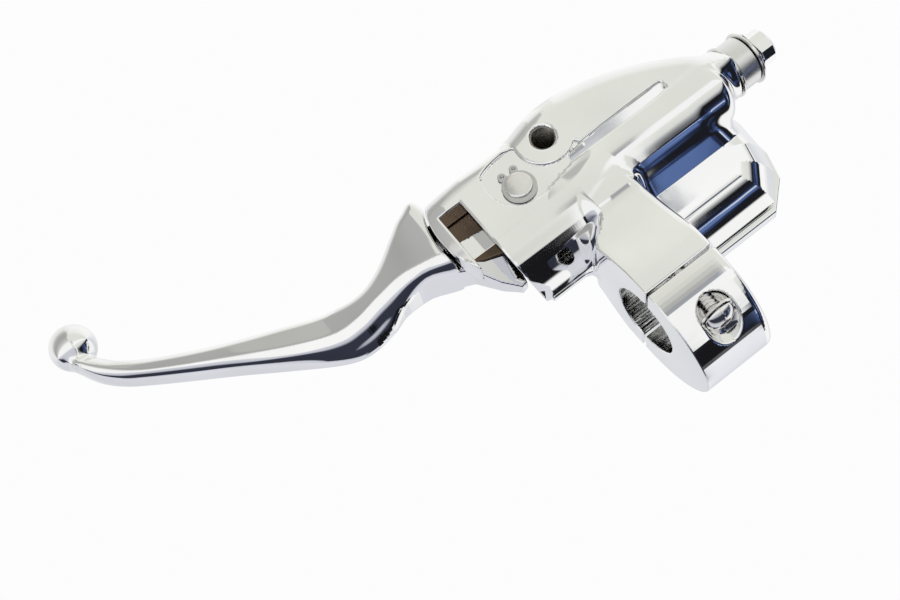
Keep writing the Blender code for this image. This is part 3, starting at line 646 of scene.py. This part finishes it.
def root_field(x, y, z):
    """The lever's root inside the housing, coloured dark brown as painted shade: the pivot eye and
    the short arm.
    """
    eye = arc(PIN, 9.0, 85, 180, 6)
    arm = arc((PIN[0], BORE[1]), 8.0, 185, 350, 8)
    inner = [(29, 47.0), (33, 45.0), (41, 47.5), (48.0, 52.0), (48.0, 69.6), (33, 68.2)]
    plate = extrude(polygon(x, y, eye + arm + inner), slab(z, -6.3, 6.3), 0.5)
    return cut(plate, lever_eyes(x, y, z), 0.3)


def heel_field(x, y, z):
    """The thin stop that reaches back along the housing's mouth."""
    outline = [(30, 46), (32.6, 40.6), (33.3, 35.4), (35.6, 34.8), (40.4, 39.5), (46, 47.6),
               (56, 52.4), (56, 60), (30, 56)]
    near = -6.4 + np.clip((50 - y) * 0.50, 0, 7.6)
    return extrude(polygon(x, y, outline), np.maximum(near - z, z - 6.3), 0.4)


def lever_field(x, y, z):
    outline = polygon(x, y, LEVER_OUTLINE)
    under, upper = blade_faces(x, y)
    blade = meet(outline, (under - z) * 0.86, 3.2)
    blade = meet(blade, z - upper, 3.0)
    inner = EAR_RADIUS + 0.7 - np.hypot(x - PIN[0], y - PIN[1])
    blade = meet(blade, inner + 0 * z, 0.8)
    ball = np.sqrt((x - BALL[0]) ** 2 + (y - BALL[1]) ** 2 + z ** 2) - BALL_RADIUS
    solid = union(union(blade, ball, 3.0), heel_field(x, y, z), 0.6)
    return cut(solid, lever_eyes(x, y, z), 0.3)


LEVER_OUTLINE = rounded_outline(BLADE_FRONT + BLADE_REAR)


# ---------------------------------------------------------------- cover and small pieces

def rim_plan(x, y, low, high):
    """The reservoir's rim in plan between two corners, with its inboard corners cut back."""
    outline = [(high[0], low[1]), (low[0] + 13.0, low[1]), (low[0] + 3.4, low[1] + 8.6),
               (low[0], low[1] + 19.0), (low[0], high[1] - 11.0), (low[0] + 7.5, high[1]),
               (high[0], high[1])]
    return polygon(x, y, outline)


def gasket_field(x, y, z):
    """The rubber diaphragm: its rim between cover and reservoir, and its folded bellows."""
    low, high = GASKET_LOW, GASKET_HIGH
    plan = rim_plan(x, y, low, high) + 0.7
    rim = extrude(plan, slab(z, high[2] - 1.0, high[2]), 0.3)
    bellows = block(x, y, z, (-50, 30, low[2]), (-26, 51.5, high[2] - 0.1), 0.45)
    hollow = block(x, y, z, (-48.8, 31.2, low[2] + 1.1), (-27.2, 50.3, high[2] + 5), 0.3)
    solid = cut(union(rim, bellows, 0.3), hollow, 0.2)
    solid = cut(solid, circle(x, y, centre_mm("sight_glass"), 5.2) + 0 * z, 0.2)
    for side in ("outboard", "inboard"):
        solid = cut(solid, circle(x, y, centre_mm(f"cover_screw_{side}"), 2.2) + 0 * z, 0.2)
    return solid


def cover_field(x, y, z):
    """The reservoir cover: rounded top edge, raised pad, and its screw and lens openings."""
    low, high = COVER_LOW, COVER_HIGH
    plan = rim_plan(x, y, low, high)
    plate = extrude(plan, slab(z, low[2], high[2] - 1.2), 0.8)
    crown = extrude(plan + 4.2, slab(z, low[2] + 1.0, high[2]), 1.4)
    solid = union(plate, crown, 1.6)
    lens = centre_mm("sight_glass")
    solid = cut(solid, np.maximum(circle(x, y, lens, 6.9), 21.4 - z), 0.4)
    solid = cut(solid, circle(x, y, lens, 5.0) + 0 * z, 0.2)
    for side in ("outboard", "inboard"):
        screw = centre_mm(f"cover_screw_{side}")
        cone = circle(x, y, screw, 2.3) - np.clip(z - 22.2, 0, 2.0)
        solid = cut(solid, cone, 0.3)
    return solid


def thread_field(radius, pitch, along, u, v):
    """A right-hand V thread: radius is its crest, along its axis coordinate."""
    turn = np.arctan2(v, u) / (2 * math.pi)
    phase = np.abs((along / pitch - turn) % 1.0 - 0.5) * 2
    return (np.hypot(u, v) - radius + 0.50 * pitch * (1 - phase)) * 0.75


def clamp_screw_field(x, y, z):
    """A button-head socket screw along Y, with its head at the low end."""
    low, high = box_mm("clamp_screw_lower")
    centre = centre_mm("clamp_screw_lower")
    u, v = x - centre[0], z - centre[2]
    head_y = low[1] + 3.8
    radius = np.hypot(u, v)
    shank = np.maximum(thread_field(3.05, 1.27, y, u, v), slab(y, head_y - 0.5, high[1]))
    point = radius - 3.1 + np.maximum(y - high[1] + 1.0, 0)
    shank = np.maximum(shank, point)
    dome = np.sqrt(radius ** 2 + (np.minimum(y - head_y, 0) * 1.35) ** 2) - 5.35
    head = meet(np.maximum(dome, slab(y, low[1] + 0.2, head_y)), y - head_y, 0.3)
    solid = union(shank, head, 0.4)
    angles = np.arange(3) * math.pi / 3
    hexagon = np.maximum.reduce([np.abs(u * math.cos(t) + v * math.sin(t)) - 1.98 for t in angles])
    return cut(solid, np.maximum(hexagon, y - low[1] - 2.3), 0.2)


def cover_screw_field(x, y, z):
    """An oval-head screw along Z, with a cross recess."""
    low, high = box_mm("cover_screw_outboard")
    centre = centre_mm("cover_screw_outboard")
    u, v = x - centre[0], y - centre[1]
    radius = np.hypot(u, v)
    dome = np.sqrt(radius ** 2 + (z - high[2] + 8.2) ** 2) - 8.2
    head = np.maximum(np.maximum(dome, radius - 3.8), high[2] - 2.6 - z)
    cone = radius - 1.7 - np.clip(z - high[2] + 3.6, 0, 2.1)
    shank = np.maximum(thread_field(1.65, 0.8, z, u, v), slab(z, low[2] + 0.3, high[2] - 2.0))
    solid = union(union(np.maximum(cone, z - high[2] + 1.6), head, 0.2), shank, 0.2)
    solid = np.maximum(solid, np.maximum(low[2] + 0.3 - z, dome))
    taper = 0.30 * np.clip(high[2] - z, 0, 3)
    cross = np.minimum(np.maximum(np.abs(u) - 2.1 + taper, np.abs(v) - 0.5 + 0.3 * taper),
                       np.maximum(np.abs(v) - 2.1 + taper, np.abs(u) - 0.5 + 0.3 * taper))
    return cut(solid, np.maximum(cross, high[2] - 2.2 - z), 0.15)


def mirror_thread_field(x, y, z):
    """The threaded wall of the mirror hole, as a thin lining."""
    u, v = x - MIRROR[0], y - MIRROR[1]
    inner = thread_field(4.25, 1.0, z, u, v)
    wall = np.maximum(np.hypot(u, v) - 4.75, -inner)
    return np.maximum(wall, slab(z, BOSS_Z + 0.9, 11.2))


def retaining_ring_field(x, y, z):
    """An open ring, wider opposite its gap, with two drilled lugs."""
    u, v = x - PIN[0], y - PIN[1]
    radius = np.hypot(u, v)
    width = 1.45 - 0.45 * v / np.maximum(radius, 1e-6)
    ring = np.maximum(radius - 4.35 - width, 4.35 - radius)
    holes = 1e9
    for side in (-1, 1):
        lug = np.hypot(u - side * 2.35, v - 5.85)
        ring = union(ring, lug - 1.45, 0.5)
        holes = np.minimum(holes, lug - 0.62)
    ring = np.maximum(np.maximum(ring, -holes), 4.35 - radius)
    ring = np.maximum(ring, -np.maximum(np.abs(u) - 0.7, -v))
    return extrude(ring, slab(z, RING_LOW[2], RING_HIGH[2]), 0.12)


def banjo_bolt_field(x, y, z):
    """A twelve-sided bolt head with a chamfered end, and its drilled shank."""
    low, high = box_mm("banjo_bolt")
    u, v = y - PORT[1], z - PORT[2]
    angles = np.arange(6) * math.pi / 6 + 0.1
    sides = np.maximum.reduce([np.abs(u * math.cos(t) + v * math.sin(t)) - 6.35 for t in angles])
    radius = np.hypot(u, v)
    head_end = low[0] + 8.0
    chamfer = (radius - 6.2 + (low[0] + 0.9 - x)) * 0.7
    head = meet(np.maximum(sides, chamfer), slab(x, low[0], head_end), 0.25)
    dish = np.sqrt(radius ** 2 + (x - low[0] + 7.0) ** 2) - 8.2
    head = cut(head, dish, 0.4)
    flange = extrude(radius - 8.6, slab(x, head_end - 1.2, head_end), 0.4)
    shank = np.maximum(thread_field(5.0, 1.0, x, u, v), slab(x, head_end - 1, high[0]))
    solid = union(union(head, flange, 0.5), shank, 0.3)
    return cut(solid, np.maximum(radius - 1.4, low[0] + 12 - x), 0.2)


def lathe(name, profile, centre, axis, steps=96):
    """Turns a closed (radius, along) profile, in millimetres, about an axis through a point."""
    profile = np.asarray(profile, float)
    angles = np.linspace(0, 2 * math.pi, steps, endpoint=False)
    count = len(profile)
    directions = {"X": (1, 2, 0), "Y": (2, 0, 1), "Z": (0, 1, 2)}[axis]
    points = np.zeros((steps, count, 3))
    points[:, :, directions[0]] = np.cos(angles)[:, None] * profile[:, 0]
    points[:, :, directions[1]] = np.sin(angles)[:, None] * profile[:, 0]
    points[:, :, directions[2]] = profile[:, 1]
    points += np.asarray(centre)
    faces = []
    for i in range(steps):
        for j in range(count):
            here, ahead = i * count, (i + 1) % steps * count
            after = (j + 1) % count
            faces.append((here + j, ahead + j, ahead + after, here + after))
    mesh = bpy.data.meshes.new(name)
    mesh.from_pydata((points.reshape(-1, 3) * MM).tolist(), [], faces)
    mesh.shade_smooth()
    mesh.set_sharp_from_angle(angle=math.radians(35))
    return mesh


def band_profile(inner, outer, low, high, edge=0.15):
    """A washer's section with its corners broken."""
    return [(inner, low + edge), (inner + edge, low), (outer - edge, low), (outer, low + edge),
            (outer, high - edge), (outer - edge, high), (inner + edge, high), (inner, high - edge)]


def serration_mesh(name):
    """Gripping teeth along the bar on the front half of the clamp's bore."""
    teeth = 34
    length = CLAMP_HALF_WIDTH - 0.6
    angles = np.linspace(math.radians(-82), math.radians(82), 2 * teeth + 1)
    radii = np.where(np.arange(2 * teeth + 1) % 2 == 0, BAR_RADIUS + 0.45, BAR_RADIUS - 0.1)
    rim = [(r * math.cos(t), r * math.sin(t)) for r, t in zip(radii, angles)]
    back = [((BAR_RADIUS + 0.9) * math.cos(t), (BAR_RADIUS + 0.9) * math.sin(t))
            for t in reversed(angles)]
    section = rim + back
    count = len(section)
    points = [(x * MM, y * MM, z * MM) for x in (-length, length) for y, z in section]
    half = 2 * teeth + 1
    faces = [(i, (i + 1) % count, (i + 1) % count + count, i + count) for i in range(count)]
    for i in range(half - 1):
        inner, outer = i, count - 1 - i
        faces.append((inner, outer, outer - 1, inner + 1))
        faces.append((inner + count, inner + 1 + count, outer - 1 + count, outer + count))
    mesh = bpy.data.meshes.new(name)
    mesh.from_pydata(points, [], faces)
    return mesh


# ---------------------------------------------------------------- pieces

def make_housing():
    mesh = surface_mesh("housing", housing_field, (PORT_FACE_X, -0.5, -22), (51, 83, 22), 0.58)
    add_piece("housing", mesh, "housing", "master_cylinder_body", CHROME)
    add_piece("clamp_serrations", serration_mesh("clamp_serrations"), "housing",
              "master_cylinder_body", CHROME)


def make_mirror_thread():
    low = (MIRROR[0] - 4.8, MIRROR[1] - 4.8, BOSS_Z)
    high = (MIRROR[0] + 4.8, MIRROR[1] + 4.8, 11.4)
    mesh = surface_mesh("mirror_thread", mirror_thread_field, low, high, 0.24)
    # The lining's tan grey is partly the thread's own colour and partly painted shade inside the
    # hole.
    add_piece("mirror_thread", mesh, "housing", "master_cylinder_body", TAPPED_AND_SHADED)


def make_cap():
    mesh = surface_mesh("clamp_cap_shell", cap_field, CAP_LOW, CAP_HIGH, 0.42)
    add_piece("clamp_cap_shell", mesh, "housing", "clamp_cap", CHROME)


def make_lever():
    low, high = box_mm("brake_lever")
    mesh = surface_mesh("lever_forging", lever_field, low, high, 0.55)
    add_piece("lever_forging", mesh, "lever", "brake_lever", CHROME)
    low, high = (PIN[0] - 9.6, BORE[1] - 8.6, -6.5), (48.6, 70.5, 6.5)
    mesh = surface_mesh("lever_root", root_field, low, high, 0.5)
    # The root's dark brown is painted shade of the notch it sits in.
    add_piece("lever_root", mesh, "lever", "brake_lever", ROOT_PAINTED_SHADE)


def make_cover():
    mesh = surface_mesh("cover_plate", cover_field, COVER_LOW, COVER_HIGH, 0.5)
    add_piece("cover_plate", mesh, "housing", "reservoir_cover", CHROME)
    low, high = box_mm("cover_screw_outboard")
    mesh = surface_mesh("cover_screw", cover_screw_field, low, high, 0.16)
    add_piece("oval_screw_outboard", mesh, "housing", "cover_screw_outboard", BRIGHT)
    shift = centre_mm("cover_screw_inboard") - centre_mm("cover_screw_outboard")
    second = mesh.copy()
    second.transform(Matrix.Translation(Vector(shift * MM)))
    add_piece("oval_screw_inboard", second, "housing", "cover_screw_inboard",
              BRIGHT)
    mesh = surface_mesh("diaphragm", gasket_field, GASKET_LOW, GASKET_HIGH, 0.45)
    add_piece("diaphragm", mesh, "housing", "reservoir_gasket", RUBBER)


def make_clamp_screws():
    low, high = box_mm("clamp_screw_lower")
    mesh = surface_mesh("clamp_screw", clamp_screw_field, low, high, 0.16)
    add_piece("button_screw_lower", mesh, "housing", "clamp_screw_lower", BRIGHT)
    shift = centre_mm("clamp_screw_upper") - centre_mm("clamp_screw_lower")
    second = mesh.copy()
    second.transform(Matrix.Translation(Vector(shift * MM)))
    add_piece("button_screw_upper", second, "housing", "clamp_screw_upper", BRIGHT)
    for side in ("lower", "upper"):
        node = f"clamp_washer_{side}"
        low, high = box_mm(node)
        centre = (low + high) / 2
        thick = (high[1] - low[1]) / 2
        mesh = lathe(f"flat_washer_{side}", band_profile(3.4, 6.0, -thick, thick), centre, "Y")
        add_piece(f"flat_washer_{side}", mesh, "housing", node, BRIGHT)


def make_line_port():
    low, high = box_mm("banjo_bolt")
    mesh = surface_mesh("banjo_bolt_body", banjo_bolt_field, low, high, 0.25)
    add_piece("banjo_bolt_body", mesh, "housing", "banjo_bolt", CHROME)
    for name in ("inner", "outer"):
        node = f"banjo_washer_{name}"
        low, high = box_mm(node)
        thick = (high[0] - low[0]) / 2
        radius = (high[1] - low[1]) / 2
        mesh = lathe(f"sealing_washer_{name}", band_profile(5.4, radius, -thick, thick, 0.25),
                     (low + high) / 2, "X")
        add_piece(f"sealing_washer_{name}", mesh, "housing", node, BRIGHT)
    low, high = box_mm("banjo_spacer")
    half, radius = (high[0] - low[0]) / 2, (high[1] - low[1]) / 2
    mesh = lathe("turned_spacer", band_profile(5.8, radius, -half, half, 0.35), PORT, "X", 128)
    add_piece("turned_spacer", mesh, "housing", "banjo_spacer", SATIN)


def make_pivot():
    low, high = box_mm("pivot_pin")
    length = high[2] - low[2]
    profile = [(0.01, 0.5), (3.9, 0.5), (4.4, 0.58), (4.70, 0.86), (4.75, 1.05), (4.75, 1.15),
               (4.1, 1.2), (4.1, 2.1), (4.75, 2.15), (4.75, length - 2.3), (7.0, length - 2.3),
               (7.0, length - 0.6), (6.4, length), (3.2, length), (2.6, length - 0.9),
               (0.01, length - 0.9)]
    mesh = lathe("hinge_pin", profile, (PIN[0], PIN[1], low[2]), "Z")
    add_piece("hinge_pin", mesh, "housing", "pivot_pin", BRIGHT)
    mesh = surface_mesh("open_clip", retaining_ring_field, RING_LOW - 0.5, RING_HIGH + 0.5, 0.13)
    add_piece("open_clip", mesh, "housing", "pivot_retaining_ring", SPRING_STEEL)


def make_lens():
    low, high = box_mm("sight_glass")
    height = high[2] - low[2]
    profile = [(0.01, 0), (3.2, 2.4), (4.5, 3.9), (4.5, height - 2.6), (6.6, height - 2.5),
               (6.6, height - 0.9), (6.3, height - 0.4), (5.4, height - 0.15), (0.01, height)]
    centre = centre_mm("sight_glass")
    mesh = lathe("lens_body", profile, (centre[0], centre[1], low[2]), "Z")
    add_piece("lens_body", mesh, "housing", "sight_glass", GLASS)


KEPT_NODES = {
    "sight_glass_seal": RUBBER,
    "piston_snap_ring": SPRING_STEEL,
    "dust_wiper": RUBBER,
    "return_spring": SPRING_STEEL,
    "piston": ANODISED,
    "primary_cup": RUBBER,
    "secondary_cup": RUBBER,
    "pivot_bushing": BRONZE,
    "reaction_pin": BRIGHT,
}


def dress_kept_nodes():
    """The inner pieces keep their CAD shape and take a finished material."""
    for node, material in KEPT_NODES.items():
        for slot in frame["nodes"][node].material_slots:
            slot.material = material


# ---------------------------------------------------------------- light, floor, camera

FLOOR_DROP = 0.50
FLOOR_RADIUS = 0.60
# The camera's place, directions and lens come from a separate least-squares fit to the photograph.
CAMERA_PLACE = (0.1121, -0.1070, -0.3716)
CAMERA_RIGHT = (-0.7912, -0.5978, 0.1289)
CAMERA_UP = (-0.5962, 0.7072, -0.3801)
CAMERA_LENS = 49.7


def make_floor():
    """A plain round floor, below the camera, which looks up at the object's underside."""
    centre = (np.array(CAD_BOUNDS[0]) + np.array(CAD_BOUNDS[1])) / 2
    steps = 96
    rim = [(centre[0] + FLOOR_RADIUS * math.cos(2 * math.pi * i / steps),
            centre[1] + FLOOR_RADIUS * math.sin(2 * math.pi * i / steps),
            CAD_BOUNDS[0][2] - FLOOR_DROP) for i in range(steps)]
    mesh = bpy.data.meshes.new("floor")
    mesh.from_pydata(rim, [], [tuple(range(steps))])
    floor = bpy.data.objects.new("floor", mesh)
    bpy.context.scene.collection.objects.link(floor)
    paper = Shader("pale_floor", (0.90, 0.885, 0.855), 0.85, 0.0)
    tint = paper.ramp(paper.noise(3, 3), [(0.3, (0.89, 0.875, 0.845)), (0.7, (0.91, 0.895, 0.865))])
    paper.link(tint, paper.surface.inputs["Base Color"])
    mesh.materials.append(paper.material)
    # The chrome mirrors the world's colours, and this floor is left out of its reflections.
    floor.visible_glossy = False
    floor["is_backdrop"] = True


CREAM = (0.80, 0.81, 0.755)
LAVENDER = (0.70, 0.71, 0.76)
WHITE = (1.0, 1.0, 1.0)
BLACK = (0.010, 0.010, 0.012)
# Each column of the room is a list of (angle, colour) stops. The angle turns about the bar:
# 0 is level to the rear, 90 straight down, 180 level to the front, 270 and -90 straight up.
COLUMNS = [
    (-0.322, [(-90, LAVENDER), (-60, WHITE), (-26, WHITE), (-20, BLACK), (40, BLACK),
              (45, (0.30, 0.31, 0.33)), (52, (0.74, 0.75, 0.72)), (66, (0.84, 0.84, 0.80)),
              (70, WHITE), (84, WHITE), (88, CREAM), (126, CREAM), (150, (0.92, 0.92, 0.90)),
              (190, WHITE), (230, WHITE), (270, LAVENDER)]),
    (-0.252, [(-90, LAVENDER), (-30, (0.88, 0.89, 0.94)), (-8, (0.92, 0.93, 0.97)), (-4, BLACK),
              (25, BLACK), (28, WHITE), (79, WHITE), (82, (0.32, 0.34, 0.38)),
              (89, (0.48, 0.48, 0.47)), (97, (0.76, 0.76, 0.71)), (112, CREAM),
              (165, (0.85, 0.86, 0.79)), (195, (0.92, 0.92, 0.90)), (270, LAVENDER)]),
    (-0.150, [(-90, LAVENDER), (-50, WHITE), (-37, WHITE), (-32, BLACK), (42, BLACK),
              (47, (0.35, 0.36, 0.36)), (58, (0.66, 0.66, 0.63)), (74, CREAM), (122, CREAM),
              (132, (0.50, 0.50, 0.48)), (152, (0.50, 0.50, 0.48)), (166, (0.85, 0.85, 0.82)),
              (190, WHITE), (230, WHITE), (270, LAVENDER)]),
    (-0.080, [(-90, LAVENDER), (-40, (0.75, 0.76, 0.82)), (-22, (0.62, 0.63, 0.70)),
              (-17, (0.03, 0.033, 0.05)), (28, (0.035, 0.04, 0.06)), (34, (0.30, 0.31, 0.37)),
              (42, (0.56, 0.57, 0.64)), (60, (0.66, 0.67, 0.73)), (67, WHITE), (94, WHITE),
              (101, (0.72, 0.72, 0.71)), (114, (0.52, 0.52, 0.51)), (132, (0.40, 0.40, 0.39)),
              (152, (0.44, 0.44, 0.43)), (180, (0.85, 0.85, 0.84)), (215, (0.92, 0.92, 0.92)),
              (270, LAVENDER)]),
]
COLUMN_BLEND = 0.007
DARK_PATCHES = [(0.0, BLACK), (0.50, (0.012, 0.013, 0.018)), (0.57, (0.03, 0.05, 0.13)),
                (0.63, (0.09, 0.15, 0.35)), (0.68, (0.12, 0.19, 0.42)), (0.72, (0.7, 0.74, 0.8)),
                (1.0, WHITE)]


def make_world():
    """Studio light as colours by the angle about X, in columns chosen by the direction's X.

    Only the light and the reflections see it: the camera sees plain pale paper in its place.
    """
    world = bpy.data.worlds.new("studio")
    bpy.context.scene.world = world
    world.use_nodes = True
    tree = world.node_tree
    tree.nodes.clear()

    def node(kind, **settings):
        made = tree.nodes.new("ShaderNode" + kind)
        for key, value in settings.items():
            setattr(made, key, value)
        return made

    def ramp(source, stops):
        made = node("ValToRGB")
        elements = made.color_ramp.elements
        while len(elements) < len(stops):
            elements.new(0.5)
        for element, (position, colour) in zip(elements, stops):
            element.position = position
            element.color = (*colour, 1)
        tree.links.new(source, made.inputs["Fac"])
        return made.outputs["Color"]

    def mix(factor, first, second):
        made = node("Mix", data_type="RGBA")
        tree.links.new(factor, made.inputs["Factor"])
        tree.links.new(first, made.inputs["A"])
        tree.links.new(second, made.inputs["B"])
        return made.outputs["Result"]

    def step(source, low, high):
        """0 below low and 1 above high."""
        made = node("MapRange", interpolation_type="SMOOTHSTEP")
        made.inputs["From Min"].default_value = low
        made.inputs["From Max"].default_value = high
        tree.links.new(source, made.inputs["Value"])
        return made.outputs["Result"]

    def math_node(operation, first, second):
        made = node("Math", operation=operation)
        tree.links.new(first, made.inputs[0])
        if isinstance(second, float):
            made.inputs[1].default_value = second
        else:
            tree.links.new(second, made.inputs[1])
        return made.outputs["Value"]

    direction = node("TexCoord").outputs["Generated"]
    split = node("SeparateXYZ")
    tree.links.new(direction, split.inputs["Vector"])
    right, forward, up = (split.outputs[axis] for axis in "XYZ")
    down = math_node("MULTIPLY", up, -1.0)
    angle = math_node("ARCTAN2", forward, down)
    place = node("MapRange")
    place.inputs["From Min"].default_value = -math.pi
    place.inputs["From Max"].default_value = math.pi
    tree.links.new(angle, place.inputs["Value"])
    colour = None
    for edge, stops in COLUMNS:
        scaled = [((degrees + 90) / 360, tint) for degrees, tint in stops]
        column = ramp(place.outputs["Result"], scaled)
        if colour is None:
            colour = column
        else:
            colour = mix(step(right, last - COLUMN_BLEND, last + COLUMN_BLEND), colour, column)
        last = edge
    texture = node("TexNoise")
    texture.inputs["Scale"].default_value = 3.6
    texture.inputs["Detail"].default_value = 5.0
    texture.inputs["Roughness"].default_value = 0.55
    tree.links.new(direction, texture.inputs["Vector"])
    patches = ramp(texture.outputs["Fac"], DARK_PATCHES)
    low_edge = step(angle, math.radians(-108), math.radians(-101))
    high_edge = step(angle, math.radians(-54), math.radians(-60))
    inboard = step(right, -0.305, -0.325)
    band = math_node("MULTIPLY", math_node("MULTIPLY", low_edge, high_edge), inboard)
    colour = mix(band, colour, patches)
    seen = node("Background")
    tree.links.new(colour, seen.inputs["Color"])
    plain = node("Background")
    plain.inputs["Color"].default_value = (0.98, 0.98, 0.98, 1)
    ray = node("LightPath").outputs["Is Camera Ray"]
    choose = node("MixShader")
    tree.links.new(ray, choose.inputs["Fac"])
    tree.links.new(seen.outputs["Background"], choose.inputs[1])
    tree.links.new(plain.outputs["Background"], choose.inputs[2])
    tree.links.new(choose.outputs["Shader"], node("OutputWorld").inputs["Surface"])


def make_camera():
    data = bpy.data.cameras.new("camera")
    data.lens = CAMERA_LENS
    data.sensor_width = 36.0
    camera = bpy.data.objects.new("camera", data)
    bpy.context.scene.collection.objects.link(camera)
    right, up = Vector(CAMERA_RIGHT).normalized(), Vector(CAMERA_UP).normalized()
    back = right.cross(up).normalized()
    up = back.cross(right)
    turn = Matrix((right, up, back)).transposed().to_4x4()
    camera.matrix_world = Matrix.Translation(CAMERA_PLACE) @ turn
    bpy.context.scene.camera = camera


def write_sizes():
    """The CAD model's box and the visual model's box, as plain lists."""
    boxes = {"cad": CAD_BOUNDS, "visual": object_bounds()}
    plain = {key: [[float(v) for v in corner] for corner in box] for key, box in boxes.items()}


make_housing()
make_mirror_thread()
make_cap()
make_lever()
make_cover()
make_clamp_screws()
make_line_port()
make_pivot()
make_lens()
dress_kept_nodes()
make_floor()
make_world()
make_camera()
bpy.context.scene.view_settings.view_transform = "Standard"
write_sizes()
